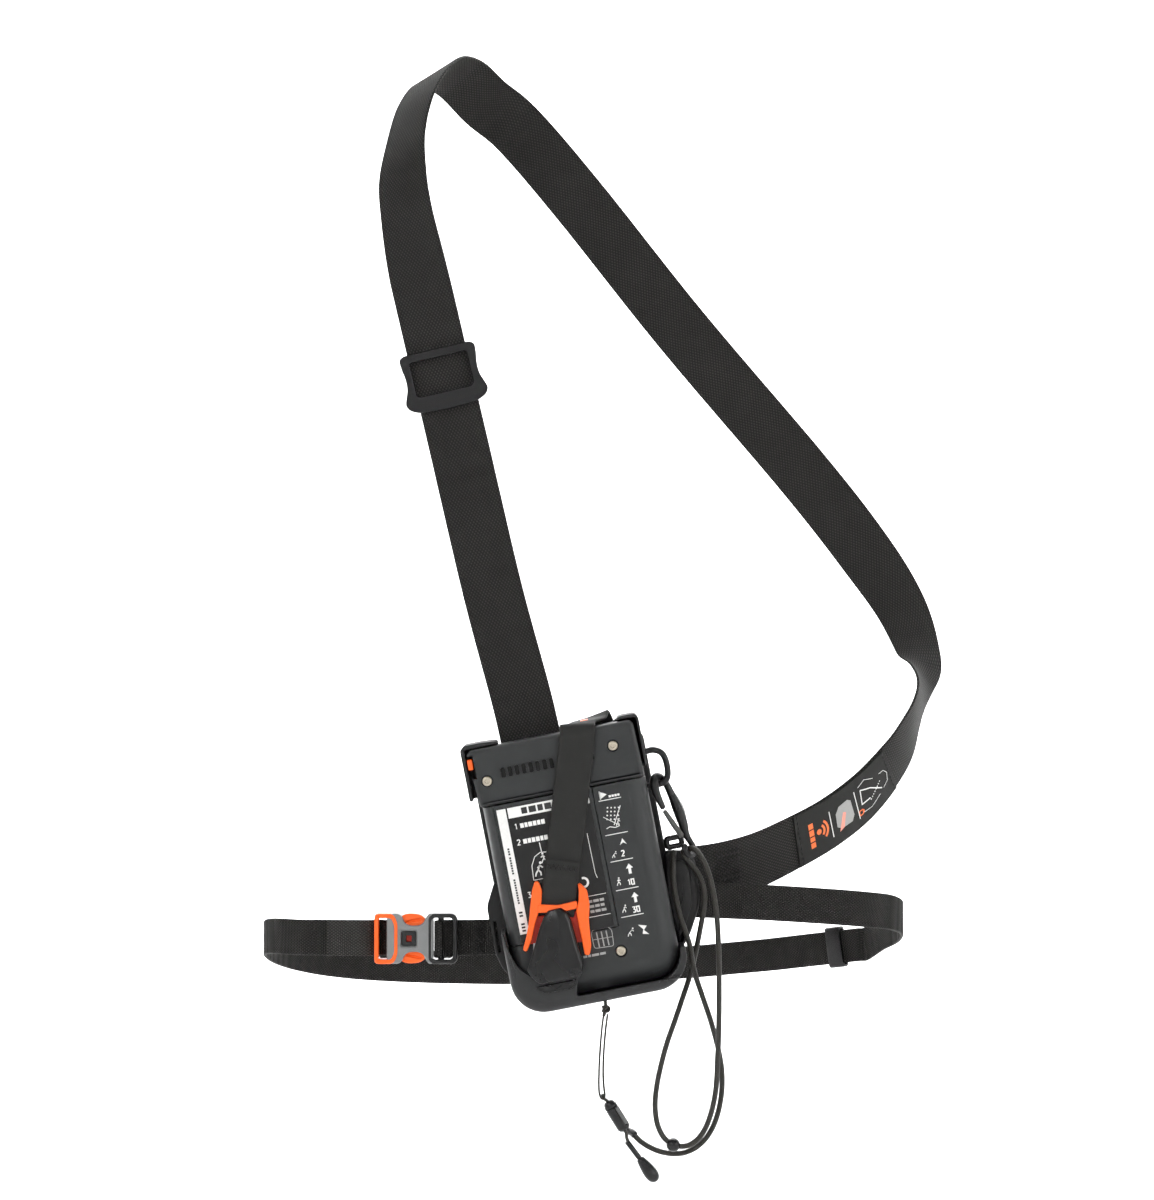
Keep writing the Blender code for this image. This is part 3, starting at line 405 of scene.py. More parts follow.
def new_material(name, roughness, metallic=0, **fixed):
    material = bpy.data.materials.new(name)
    material.use_nodes = True
    shader = material.node_tree.nodes["Principled BSDF"]
    shader.inputs["Roughness"].default_value = roughness
    shader.inputs["Metallic"].default_value = metallic
    for key, value in fixed.items():
        shader.inputs[key.replace("_", " ")].default_value = value
    return material, material.node_tree, shader


def noise_of(tree, scale, detail=3, coordinate=None):
    where = coordinate or node(tree, "TexCoord").outputs["Object"]
    return node(tree, "TexNoise", {"Vector": where, "Scale": scale, "Detail": detail}).outputs["Fac"]


def bump(tree, shader, height, strength, distance):
    made = node(tree, "Bump", {"Height": height, "Strength": strength, "Distance": distance * MM})
    tree.links.new(made.outputs["Normal"], shader.inputs["Normal"])


def shaded(colour, factor):
    return tuple(min(1, channel * factor) for channel in colour)


def moulded(name, colour, roughness, grain=0.35, size=2600, mottle=0.12, metallic=0, gleam=0.34, **fixed):
    """Moulded plastic, rubber or metal: spark-eroded grain, uneven gloss and slight rubbing marks."""
    material, tree, shader = new_material(name, roughness, metallic, Specular_IOR_Level=gleam, **fixed)
    cloud = noise_of(tree, 55)
    fine = noise_of(tree, size, 2)
    rub = node(tree, "MapRange", {"Value": noise_of(tree, 420, 6), 1: 0.58, 2: 0.78, 3: 0, 4: 0.35})
    colours = blend_colours(tree, cloud, shaded(colour, 1 - mottle), shaded(colour, 1 + mottle))
    colours = blend_colours(tree, rub.outputs[0], colours, shaded(colour, 1.35))
    tree.links.new(colours, shader.inputs["Base Color"])
    gloss = node(tree, "MapRange", {"Value": cloud, 3: roughness - 0.06, 4: roughness + 0.09})
    tree.links.new(gloss.outputs[0], shader.inputs["Roughness"])
    bump(tree, shader, fine, grain, 0.05)
    return material


def woven(name, dark, light, column, row):
    """Webbing: a checked field of floats, read from the surface's own millimetres."""
    material, tree, shader = new_material(name, 0.62, Specular_IOR_Level=0.22)
    place = node(tree, "SeparateXYZ", {0: node(tree, "UVMap").outputs[0]})
    across, along = place.outputs[0], place.outputs[1]
    line = maths(tree, "FLOOR", maths(tree, "DIVIDE", along, row))
    shift = maths(tree, "MULTIPLY", maths(tree, "MODULO", line, 2), 0.5)
    turn = maths(tree, "ADD", maths(tree, "DIVIDE", across, column), shift)
    wave = maths(tree, "SINE", maths(tree, "MULTIPLY", turn, 2 * pi))
    dots = node(tree, "MapRange", {"Value": wave, 1: -0.5, 2: 1}).outputs[0]
    rise = maths(tree, "ABSOLUTE", maths(tree, "SINE", maths(tree, "MULTIPLY", along, pi / row)))
    height = maths(tree, "MULTIPLY", dots, rise)
    fibre = noise_of(tree, 3000, 2)
    cloud = noise_of(tree, 30)
    share = maths(tree, "MULTIPLY", height, maths(tree, "ADD", maths(tree, "MULTIPLY", fibre, 0.9), 0.3))
    pale = blend_colours(tree, cloud, shaded(light, 0.8), shaded(light, 1.2))
    tree.links.new(blend_colours(tree, share, dark, pale), shader.inputs["Base Color"])
    both = maths(tree, "ADD", height, maths(tree, "MULTIPLY", fibre, 0.25))
    bump(tree, shader, both, 0.9, 0.14)
    return material


def braided(name, dark, light):
    """A cord's braided sheath: two crossing sets of strands, read from its own millimetres."""
    material, tree, shader = new_material(name, 0.5, Specular_IOR_Level=0.3)
    place = node(tree, "SeparateXYZ", {0: node(tree, "UVMap").outputs[0]})
    around = maths(tree, "MULTIPLY", place.outputs[0], 2 * pi / 1.2)
    along = maths(tree, "MULTIPLY", place.outputs[1], 2 * pi / 1.15)
    one = maths(tree, "SINE", maths(tree, "ADD", around, along))
    two = maths(tree, "SINE", maths(tree, "SUBTRACT", around, along))
    height = maths(tree, "MAXIMUM", one, two)
    share = node(tree, "MapRange", {"Value": height, 1: -0.4, 2: 1}).outputs[0]
    tree.links.new(blend_colours(tree, share, dark, light), shader.inputs["Base Color"])
    bump(tree, shader, height, 0.5, 0.08)
    return material


def printed(name, colour):
    """Screen-printed ink, a little uneven in its cover."""
    material, tree, shader = new_material(name, 0.5)
    cover = node(tree, "MapRange", {"Value": noise_of(tree, 900), 1: 0.3, 2: 0.7}).outputs[0]
    tree.links.new(blend_colours(tree, cover, shaded(colour, 0.93), colour), shader.inputs["Base Color"])
    bump(tree, shader, noise_of(tree, 2500), 0.15, 0.03)
    return material


def make_looks():
    return {
        "housing": moulded("housing grey", (0.022, 0.0235, 0.024), 0.48),
        "cover": moulded("cover grey", (0.026, 0.028, 0.0285), 0.42),
        "mark": moulded("raised mark", (0.004, 0.004, 0.004), 0.4, gleam=0.2),
        "rubber": moulded("bumper rubber", (0.014, 0.0145, 0.015), 0.55, 0.5),
        "seal": moulded("seal red", (0.25, 0.02, 0.015), 0.6),
        "label": moulded("label film", (0.0055, 0.0055, 0.0055), 0.34, 0.1),
        "window": moulded("display window", (0.03, 0.035, 0.04), 0.08, 0),
        "display": moulded("display module", (0.28, 0.31, 0.26), 0.3, 0.1),
        "board": moulded("solder resist", (0.01, 0.10, 0.03), 0.45, 0.4),
        "copper": moulded("copper winding", (0.62, 0.26, 0.11), 0.35, 0.3, metallic=0.9),
        "cell": moulded("cell sleeve", (0.06, 0.09, 0.14), 0.3, 0.1),
        "nickel": moulded("nickel plate", (0.5, 0.45, 0.36), 0.3, 0.2, metallic=1),
        "steel": moulded("spring steel", (0.46, 0.46, 0.47), 0.34, 0.2, metallic=1),
        "orange": moulded("orange acetal", (0.9, 0.12, 0.014), 0.36, 0.12, mottle=0.05),
        "plate": moulded("plate black", (0.013, 0.013, 0.0135), 0.55, 0.7, 1500),
        "cup": moulded("cup grey", (0.018, 0.0185, 0.019), 0.42),
        "wing": moulded("wing laminate", (0.008, 0.008, 0.008), 0.5, 0.7, 1400),
        "coated": moulded("coated strap", (0.019, 0.019, 0.018), 0.66, 0.6, 1800, gleam=0.2),
        "lever": moulded("lever black", (0.004, 0.004, 0.0042), 0.27, 0.2),
        "wire": moulded("loop black", (0.006, 0.006, 0.0065), 0.34, 0.2),
        "gloss": moulded("gloss black", (0.007, 0.007, 0.0075), 0.22, 0.12),
        "hook": moulded("hook black", (0.006, 0.006, 0.006), 0.26, 0.15),
        "gate": moulded("gate grey", (0.06, 0.06, 0.056), 0.3, 0.15),
        "webbing": woven("shoulder webbing", (0.005, 0.005, 0.0045), (0.04, 0.0375, 0.034), 1.42,
                         SHOULDER_RIB),
        "belt": woven("waist webbing", (0.005, 0.005, 0.0045), (0.042, 0.04, 0.036), 1.2, WAIST_RIB),
        "pale belt": woven("doubled webbing", (0.012, 0.012, 0.011), (0.075, 0.072, 0.066), 1.2, WAIST_RIB),
        # Orange plastic darkened to red: painted shade, used on the buckle's tongue and on the sheet behind
        # the catch.
        "red": moulded("orange in painted shade", (0.42, 0.02, 0.006), 0.45, 0.15, mottle=0.05),
        "grey": moulded("buckle grey", (0.2, 0.205, 0.205), 0.42, 0.5, mottle=0.06),
        "frame": moulded("buckle frame", (0.012, 0.0125, 0.0125), 0.28, 0.3),
        "cord": braided("cord sheath", (0.014, 0.0135, 0.011), (0.03, 0.0285, 0.024)),
        "dark thread": moulded("dark thread", (0.003, 0.003, 0.003), 0.6),
        "white": printed("white ink", (0.78, 0.78, 0.76)),
        "grey ink": printed("grey ink", (0.33, 0.33, 0.32)),
        "black ink": printed("black ink", (0.02, 0.02, 0.02)),
        "orange ink": printed("orange ink", (0.9, 0.17, 0.03)),
        "pink ink": printed("pink ink", (0.85, 0.32, 0.24)),
    }


LOOKS = make_looks()


# ---- stage

def make_floor():
    """A pale floor that rises into a wall all round."""
    reach, bend, wall, drop, sides = 2.2, 0.9, 2.6, 0.17, 96
    turns = [radians(9 * i) for i in range(1, 11)]
    profile = [(reach, 0)] + [(reach + bend * sin(t), bend - bend * cos(t)) for t in turns]
    profile.append((reach + bend, wall))
    work = bmesh.new()
    rows = [[work.verts.new((r * cos(2 * pi * i / sides), r * sin(2 * pi * i / sides), z - drop))
             for i in range(sides)] for r, z in profile]
    for near, far in zip(rows, rows[1:]):
        for i in range(sides):
            j = (i + 1) % sides
            work.faces.new((near[i], near[j], far[j], far[i]))
    work.faces.new(rows[0])
    material, tree, shader = new_material("pale floor", 0.9)
    tint = blend_colours(tree, noise_of(tree, 3), (0.86, 0.86, 0.86), (0.9, 0.9, 0.9))
    tree.links.new(tint, shader.inputs["Base Color"])
    floor = mesh_piece("floor", work, None)
    floor.data.materials.append(material)


def make_lights():
    """Soft area lights: each has its place, target, size in metres and power in watts."""
    centre = (0.02, 0.03, 0.1)
    lamps = {"key": ((-1.2, -1.5, 1.2), centre, 1, 12), "fill": ((1.5, -1.1, 0.5), centre, 0.7, 8),
             "top": ((0.1, 0.2, 1.9), centre, 1.5, 11), "rim": ((1.3, 1.1, 0.7), centre, 0.8, 5),
             "wall_left": ((-1.1, 1.2, 1.5), (-0.5, 3, 0.1), 1.2, 62),
             "wall_right": ((1.1, 1.2, 1.5), (0.5, 3, 0.1), 1.2, 62),
             "floor_back": ((0, 1.5, 1.9), (0, 1.9, -0.2), 1.6, 48),
             "wall_front": ((0, -1.6, 2), (0, -3, 0.2), 1.4, 8)}
    for name, (place, target, size, power) in lamps.items():
        light = bpy.data.lights.new(name, "AREA")
        light.size = size
        light.energy = power
        lamp = bpy.data.objects.new(name, light)
        lamp.location = place
        lamp.rotation_euler = (Vector(target) - Vector(place)).to_track_quat("-Z", "Y").to_euler()
        lamp.visible_camera = False
        bpy.context.scene.collection.objects.link(lamp)
    world = bpy.data.worlds.new("studio")
    world.use_nodes = True
    background = world.node_tree.nodes["Background"]
    background.inputs["Color"].default_value = (1, 1, 1, 1)
    background.inputs["Strength"].default_value = 0.2
    bpy.context.scene.world = world


def make_camera():
    bpy.context.scene.view_settings.view_transform = "Standard"
    camera = bpy.data.cameras.new("camera")
    camera.lens = 100
    camera.sensor_width = camera.sensor_height = 36
    camera.sensor_fit = "VERTICAL"
    holder = bpy.data.objects.new("camera", camera)
    holder.location = (-0.0004, -1.4, 0.1093)
    holder.rotation_euler = (pi / 2, 0, 0)
    bpy.context.scene.collection.objects.link(holder)
    bpy.context.scene.camera = holder


# ---- cords

LEASH_CORD = [(22.2, -14, -111.8), (25.8, -14, -115.6), (30, -14, -118.3), (34.5, -14, -120.1),
              (39.5, -14, -120.9), (44.5, -14, -120.4), (49.5, -14, -118), (54, -14, -113.4),
              (57.4, -14, -106.5), (59.5, -14, -97.4), (59.9, -14, -88), (58.6, -14, -78.6),
              (55.3, -14.5, -66), (51.5, -15, -54.7), (48.1, -16, -44.2), (46.3, -17, -33.7),
              (42.8, -17.5, -23.3), (40.6, -17.5, -14.2), (39.6, -16.8, -6.8), (39.6, -14.5, -0.5),
              (39.9, -11.2, 4.6)]
LEASH_LOOP = [(40.6, -18, -116.8), (43.2, -18, -117.2), (46.6, -18, -116.4), (50.4, -18, -113.4),
              (53.6, -18, -108), (56, -18.4, -100), (57.3, -19, -91.6), (57.8, -19.4, -81), (58.2, -20, -72),
              (58.4, -20.4, -60), (58.4, -20.6, -48), (58.2, -20.8, -35.6), (57.6, -20.8, -23.2),
              (56.2, -20.6, -12.8), (54, -20.2, -3.6), (51.2, -19.4, 2.6), (48.6, -17.4, 5.8),
              (46.3, -15.1, 6.1), (44.2, -12.8, 5.6), (44.2, -10.8, 3), (46.8, -9.8, -0.5), (50.2, -9.6, -5),
              (52.4, -9.8, -11), (52.6, -10, -18), (50.9, -10.2, -28.3), (49.2, -10.4, -36.6),
              (46.7, -10.8, -47), (43.7, -11.8, -56), (40.4, -13, -65.5), (37, -14, -75), (34.5, -15, -84),
              (32.8, -16, -92), (32, -17, -100), (32.8, -17.8, -107.5), (35.2, -18, -113),
              (38.2, -18, -115.9)]
LANYARD = [(10.6, -26.6, -61.4), (9.8, -26.6, -67.7), (9, -26.2, -78), (8.6, -25, -88.6), (8.8, -23.4, -94),
           (9.6, -22.2, -96.6), (10.6, -21.6, -97), (11.1, -22.2, -95.4), (10.6, -24, -90.6),
           (10.4, -25.4, -84), (10.7, -26.2, -76), (11.4, -26.6, -67.7), (12.2, -26.6, -61.4)]


def make_cord(name, route, radius, step=0.9, sides=16):
    path = smooth_curve(route, step)
    cord = done(tube(name, path, radius, "cord", sides=sides), "cord", name)


def make_leash():
    bead_radius, bore = 2.9, 0.5
    turns = [pi * i / 20 for i in range(21)]
    sphere = [(bead_radius - bead_radius * cos(t), max(bore, bead_radius * sin(t))) for t in turns]
    along = Vector((0.98, 0, -0.18)).normalized()
    bead = turned("bead", Vector((39.5, -18, -116.6)) - along * bead_radius, along, sphere, "gloss")
    done(bead, "gloss", "leash_bead")
    knot = make_knot()
    along = Vector((9, 0, -14.4)).normalized()
    capsule = [(0, 0.9), (0.25, 1.7), (1, 2.3), (2.2, 2.7), (3.2, 2.8), (3.3, 2.55), (3.7, 2.55), (3.8, 2.8),
               (12.6, 2.8), (13.2, 2.6), (13.8, 2.1), (14.2, 1.4), (14.3, 0.7)]
    start = Vector((12.2, -19.6, -98.2))
    connector = turned("connector", start, along, capsule, "gloss")
    change(connector, flat_cutter("connector_flat", start, along, 2.25, 3.9, 12))
    done(settle(connector, 0.3, 2), "gloss", "lanyard_connector")
    along = Vector((12.5, 0, -16.6)).normalized()
    drop = [(0, 1), (0.3, 1.15), (8.4, 1.15), (8.8, 1), (9.2, 1.6), (10.6, 2), (12.6, 2.4), (14.6, 2.75),
            (16.6, 2.9), (18.2, 2.75), (19.4, 2.3), (20.2, 1.6), (20.6, 0.9), (20.75, 0.3)]
    tab = turned("pull_tab_drop", Vector((20.2, -19, -114.9)), along, drop, "gloss")
    done(tab, "gloss", "pull_tab")
    joins = {"cord_collar": (1.55, "gloss", (18.9, -19, -108.9), (20.3, -17.4, -110.6), (22.4, -14.6, -112),
                             (23.6, -14, -113.2)),
             "tab_cord": (0.75, "cord", (18.6, -19.6, -108.6), (19.9, -19.9, -111.2), (20.2, -19.6, -113.4),
                          (21, -19, -116)),
             "connector_eye": (0.7, "cord", (10.2, -21.8, -95.2), (10.6, -20.9, -96.8), (12, -20, -98),
                               (12.8, -19.6, -99.2)),
             "cup_eye": (0.75, "cord", (10.6, -26.6, -62), (11.2, -26.8, -60), (11.4, -27, -58),
                         (11.2, -26.6, -55))}
    for name, (radius, look, *route) in joins.items():
        done(tube(name, smooth_curve(route, 0.5), radius, look, sides=14), look)
    make_cord("leash_cord", LEASH_CORD, LEASH_RADIUS)
    make_cord("leash_loop", LEASH_LOOP, LEASH_RADIUS)
    make_cord("lanyard_loop", LANYARD, LANYARD_RADIUS, 0.6, 10)


def flat_cutter(name, start, along, depth, low, high):
    """A box that takes a flat off a turned body's front left side."""
    side = frame_of(along, Vector((0.75, -0.5, 0.5)))[0]
    other = along.cross(side)
    rings = []
    for reach in (low, high):
        middle = start + along * reach
        corners = ((depth, -5), (depth + 5, -5), (depth + 5, 5), (depth, 5))
        rings.append([middle + side * a + other * b for a, b in corners])
    return skin(name, rings, None)


def make_knot():
    """An overhand knot of the thin lanyard, pulled tight below the cup."""
    path = []
    for t in [2 * pi * i / 60 for i in range(61)]:
        wide = 1 + 0.55 * cos(3 * t)
        path.append(Vector((11.4 + wide * cos(2 * t), -26.6 + wide * sin(2 * t), -59.2 + sin(3 * t))))
    return done(tube("lanyard_knot_turns", path, 0.55, "cord", sides=10), "cord", "lanyard_knot")


# ---- webbing

def shoulder_route():
    """Up the chest, over the shoulder with a twist, down the back and round the right flank."""
    front = [(-19.1, -1.6, 48.4, 0.97, 0, 0.24), (-24, 1, 69, 0.97, 0.02, 0.24)]
    front += [(-35.5, 9, 111, 0.96, 0.1, 0.23), (-45.8, 15, 154, 0.97, 0.06, 0.22)]
    front += [(-49.5, 16, 170, 0.9736, 0, 0.2284), (-57.4, 16, 203.7, 0.9736, 0, 0.2284)]
    front += [(-65.3, 16, 237.4, 0.9736, 0, 0.2284), (-68.5, 17, 251, 0.96, -0.15, 0.2)]
    top = [(-72.8, 20, 272, 0.88, -0.44, 0.1), (-75, 25, 290, 0.80, -0.58, 0)]
    top += [(-74, 32, 308, 0.66, -0.72, 0.08), (-69.5, 43, 327, 0.68, -0.66, 0.25)]
    top += [(-61.5, 58, 340, 0.78, -0.48, 0.41), (-52, 75, 340, 0.78, -0.3, 0.55)]
    back = [(-41, 87, 331, 0.76, -0.12, 0.64), (-26, 93, 319, 0.75, 0, 0.66)]
    back += [(1.6, 96, 287, 0.75, 0, 0.66), (46.6, 98, 230.6, 0.75, 0, 0.66)]
    back += [(100.5, 97, 167, 0.75, 0, 0.66)]
    side = [(126.9, 94, 133, 0.76, 0.1, 0.65), (143.6, 90, 107.5, 0.68, 0.40, 0.60)]
    side += [(151.2, 84, 87, 0.50, 0.65, 0.55), (152.8, 77, 74, 0.33, 0.88, 0.30)]
    side += [(149.8, 70, 61, 0.28, 0.94, 0), (143.5, 62, 47, 0.40, 0.82, -0.30)]
    side += [(135.3, 55, 36, 0.42, 0.70, -0.50), (123.2, 46, 23.8, 0.38, 0.58, -0.66)]
    side += [(108.5, 35, 13.7, 0.30, 0.50, -0.78), (92.8, 25, 5.8, 0.22, 0.42, -0.86)]
    side += [(76, 13, -1, 0.16, 0.32, -0.92), (61, 4.5, -4.9, 0.1, 0.2, -0.97)]
    return front + top + back + side + [(47, 0.6, -7.2, 0.1, 0.05, -0.99)]


def waist_route():
    """From the buckle round the wearer and back to the right wing."""
    route = [(-77.9, -1.9, BELT_Z), (-80.5, -1.2, BELT_Z), (-84.2, 0.7, BELT_Z), (-88.5, -1.2, BELT_Z),
             (-105, -2.2, -32.2), (-117, 1, -32.4), (-128, 12, -33), (-134, 32, -35.5)]
    route += [(-136, 58, -40), (-134, 85, -45.5), (-127, 110, -51), (-113, 130, -56), (-92, 143, -59.5)]
    route += [(-60, 149.5, -61.5), (-20, 151, -62), (20, 151, -61), (50, 151, -59.3), (70, 150, -57.4)]
    route += [SLIDER_CENTRE + SLIDER_ALONG * distance for distance in (-38, -19, 0, 12, 16)]
    route += [(136.5, 97, -40.5), (140.7, 80, -36), (141.5, 60, -31.5), (139.5, 42, -27.5), (133, 24, -24)]
    route += [(121, 10, -21.5), (104, 2, -19.5), (80, -1.5, -17.7), (60, -2.8, -16.7), (43, -3.4, -16)]
    return route


def belt_frames(points):
    """Frames of waist webbing, which stands on edge all the way."""
    return ribbon_frames([(*point, 0, 0, 1) for point in points], WAIST_RIB / 2)[0]


def stitches(name, spots, size, lean):
    """Thread bars; a spot is a centre, the way it runs and the way it faces."""
    work = bmesh.new()
    turn = UPRIGHT if lean else Matrix.Identity(3)
    turns = [pi / 3 * k for k in range(6)]
    for centre, along, face in spots:
        along = along.normalized()
        side = along.cross(face).normalized()
        rings = []
        for reach, share in ((-1, 0.35), (-0.7, 0.9), (0, 1), (0.7, 0.9), (1, 0.35)):
            middle = centre + along * reach * size[0]
            ring = [middle + (side * cos(t) * size[1] + face * sin(t) * size[2]) * share for t in turns]
            rings.append([work.verts.new(turn @ point * MM) for point in ring])
        for near, far in zip(rings, rings[1:]):
            for i in range(6):
                work.faces.new((near[i], near[(i + 1) % 6], far[(i + 1) % 6], far[i]))
        work.faces.new(rings[0])
        work.faces.new(rings[-1])
    return mesh_piece(name, work, "dark thread", 70)


def seen_side(frames):
    """1 where a strap's face looks at the camera, and -1 where its back does."""
    return 1 if frames[0][3].y < 0 else -1


def sew(name, frames, marks, lift, slot, size=(0.9, 0.26, 0.22), lean=False, body="holster"):
    """Stitches a strap's seen side; a mark is a share along it, a distance across it and a slant."""
    facing = seen_side(frames)
    spots = []
    for share, across, slant in marks:
        _, along, side, face = frames[round(share * (len(frames) - 1))]
        centre = on_frames(frames, share, across, lift * facing)
        spots.append((centre, side * cos(slant) + along * sin(slant), face * facing))
    return done(stitches(name, spots, size, lean), slot, body=body)


def zigzag(share, width, count, swing, slant=0.9):
    """Marks of a zigzag row across a strap; swing is its half-height as a share of the run."""
    marks = []
    for i in range(count):
        across = width * ((i + 0.5) / count - 0.5)
        side = 1 if i % 2 else -1
        marks.append((share + side * swing * 0.5, across, slant * side))
    return marks


def make_shoulder_strap():
    frames, stops = ribbon_frames(shoulder_route(), SHOULDER_RIB / 2)
    belt = strap("shoulder_webbing", frames, SHOULDER_WIDTH, WEBBING_THICK, "webbing", rib=0.22)
    done(belt, "webbing", *["shoulder_strap_" + part for part in ("front", "top", "back", "side")])
    marks = [mark for row in (0.30, 0.36, 0.42, 0.48, 0.54, 0.60) for mark in zigzag(row, 20, 16, 0.02)]
    sew("shoulder_bartack", frames[stops[29]:], marks, WEBBING_FACE + 0.1, "webbing")
    make_shoulder_label(frames[stops[25]:stops[28] + 1])


def waist_strap(name, frames, *nodes):
    belt = strap(name, frames, WAIST_WIDTH, WEBBING_THICK, "belt", rib=0.3)
    return done(belt, "belt", *nodes)


def make_waist_straps():
    tab = [(-57, -4.6, BELT_Z), (-55.6, -2.6, BELT_Z), (-53, -2.1, BELT_Z), (-50.4, -2, BELT_Z)]
    tab += [(-42, -1.9, -32.2), (-34, -1.9, -32), (-31, -1.9, -31.9)]
    frames = belt_frames(tab)
    waist_strap("waist_tab", frames, "waist_strap_tab")
    fold = [(-57, -4.9, BELT_Z), (-58.8, -5, BELT_Z), (-59.6, -3.6, BELT_Z), (-58.8, -2, BELT_Z)]
    fold += [(-56.5, -1.2, BELT_Z), (-52, -0.55, BELT_Z), (-46, -0.5, BELT_Z)]
    waist_strap("waist_tab_fold", belt_frames(fold))
    marks = [mark for row in (0.60, 0.66) for mark in zigzag(row, 12.5, 13, 0.03)]
    sew("tab_stitching", frames, marks, WEBBING_FACE + 0.08, "belt")
    frames = belt_frames(waist_route())
    waist_strap("waist_webbing", frames, "waist_strap_left", "waist_strap_rear", "waist_elastic")
    end = [(-85.5, -1.4, BELT_Z), (-88.8, -3, BELT_Z), (-95, -3.6, -32.3), (-105.2, -3.55, -32.2)]
    doubled = belt_frames(end)
    done(strap("waist_sewn_end", doubled, WAIST_WIDTH, 1.2, "pale belt", rib=0.3), "belt")
    marks = [(0.95, 13 * (i / 9 - 0.5), 0) for i in range(10)]
    sew("waist_seam", doubled, marks, 0.68, "belt", (0.6, 0.2, 0.18))


def make_adjuster():
    """Three-bar slide with waisted sides; its outline is drawn across and along the strap."""
    across, _ = frame_of(ADJUSTER_ALONG, (1, 0, 0))
    front = Vector((0, -1, 0))
    half = [(0, 12.6), (8, 12.4), (14, 12.6), (16.6, 11.2), (16.3, 7), (15.5, 2.6), (15.7, -2)]
    half += [(17.4, -6.2), (18, -8.6), (16.4, -11.2), (12, -13), (0, -13.6)]
    outline = anticlockwise(soften(half + [(-x, z) for x, z in half[-2:0:-1]], 2.4))

    def placed(ring):
        return [ADJUSTER_CENTRE + across * x + ADJUSTER_ALONG * z + front * y for x, y, z in ring]

    body = skin("adjuster", [placed(at_depth(outline, y)) for y in (1.2, 3.3)], "gloss")
    window = rounded_box(-12.4, 12.4, -6, 8.9, (2, 2, 1, 1))
    change(body, skin("adjuster_window", [placed(at_depth(window, y)) for y in (-9, 9)], None))
    done(settle(body, 0.6, 3), "gloss", "strap_adjuster", body="adjuster")
    side_wall = [(13.1, -7.4), (15.6, -6.4), (15, -1.6), (14.9, 2.4), (15.3, 7), (15.2, 9.6), (13.1, 9.8)]
    for name, side in {"left": -1, "right": 1}.items():
        wall = soften(anticlockwise([(side * x, z) for x, z in side_wall]), 0.5)
        wall = skin("adjuster_wall_" + name, [placed(at_depth(wall, y)) for y in (-1.2, 2.2)], "gloss")
        done(settle(wall, 0.45, 3), "gloss", body="adjuster")
    bar = [(x, -1.9, z) for x, z in ((-13.8, 0.5), (-9, 0.5), (0, 0.5), (9, 0.5), (13.8, 0.5))]
    path = smooth_curve([placed([point])[0] for point in bar], 2)
    done(tube("adjuster_bar", path, 1.7, "gloss", flat=0.5, across=Vector((0, 0, 1))), "gloss",
         body="adjuster")


def make_belt_slider():
    across, face = frame_of(SLIDER_ALONG, (0, 0, 1))
    outer = rounded_box(-9.3, 9.3, -2.5, 2.5, 1.6, 6)
    inner = rounded_box(-7.95, 7.95, -1.2, 1.2, 0.5, 6)

    def ring(outline, distance, shrink):
        middle = SLIDER_CENTRE + SLIDER_ALONG * distance
        return [middle + across * a + face * b for a, b in inset(outline, shrink)]

    rings = [ring(outer, -4, 0.5), ring(outer, -3.8, 0.15), ring(outer, -3.3, 0), ring(outer, 3.3, 0)]
    rings += [ring(outer, 3.8, 0.15), ring(outer, 4, 0.5), ring(inner, 4, -0.2), ring(inner, 3.7, 0)]
    rings += [ring(inner, -3.7, 0), ring(inner, -4, -0.2)]
    done(skin("belt_loop", rings, "gloss", loop=True), "gloss", "belt_slider", body="slider")


# ---- waist buckle

def belt_place(outline):
    return [(x, BELT_Z + z) for x, z in outline]


def belt_block(name, outline, front, back, look=None):
    """A block at the belt's height, not leaning; its front and back are distances from the belt's middle."""
    return block(name, belt_place(outline), BELT_Y + front, BELT_Y + back, look, False)


def make_buckle_body():
    """Side-release buckle: the grey body, with a square hole and its dark recess."""
    side = [(-80, 9), (-78.6, BUCKLE_HALF), (-75.2, BUCKLE_HALF), (-73.6, 9.4), (-72.4, 6.6), (-70.4, 5.5)]
    side += [(-66.6, 5.5), (-64.6, 6.6), (-63.6, 9), (-62.4, BUCKLE_HALF), (-60.5, BUCKLE_HALF)]
    outline = soften(anticlockwise(side + [(x, -z) for x, z in side[::-1]]), 1.2, 4)
    body = belt_block("buckle_body", outline, -BUCKLE_DEEP, BUCKLE_DEEP, "grey")
    change(body, belt_block("cavity", rounded_box(-90, -50, -8.7, 8.7, 0.5), -2.4, 2.4))
    front = BELT_Y - BUCKLE_DEEP
    hole = [belt_place(rounded_box(-74.2 + edge, -67.4 - edge, -3.4 + edge, 3.4 - edge, 0.8))
            for edge in (-0.6, 0.9)]
    change(body, skin("square_hole", [at_depth(hole[0], front - 0.3), at_depth(hole[1], front + 2.2)], None))
    done(settle(body, 0.55, 3), "grey", "buckle_female")
    recess = belt_block("buckle_recess", rounded_box(-73.9, -67.7, -3.1, 3.1, 0.6), 0.9 - BUCKLE_DEEP, -1.7,
                        "frame")
    change(recess, belt_block("recess_hole", rounded_box(-71.8, -69.6, -1.3, 1.3, 0.2), -6.5, 2.5))
    done(settle(recess, 0.2, 2), "grey")


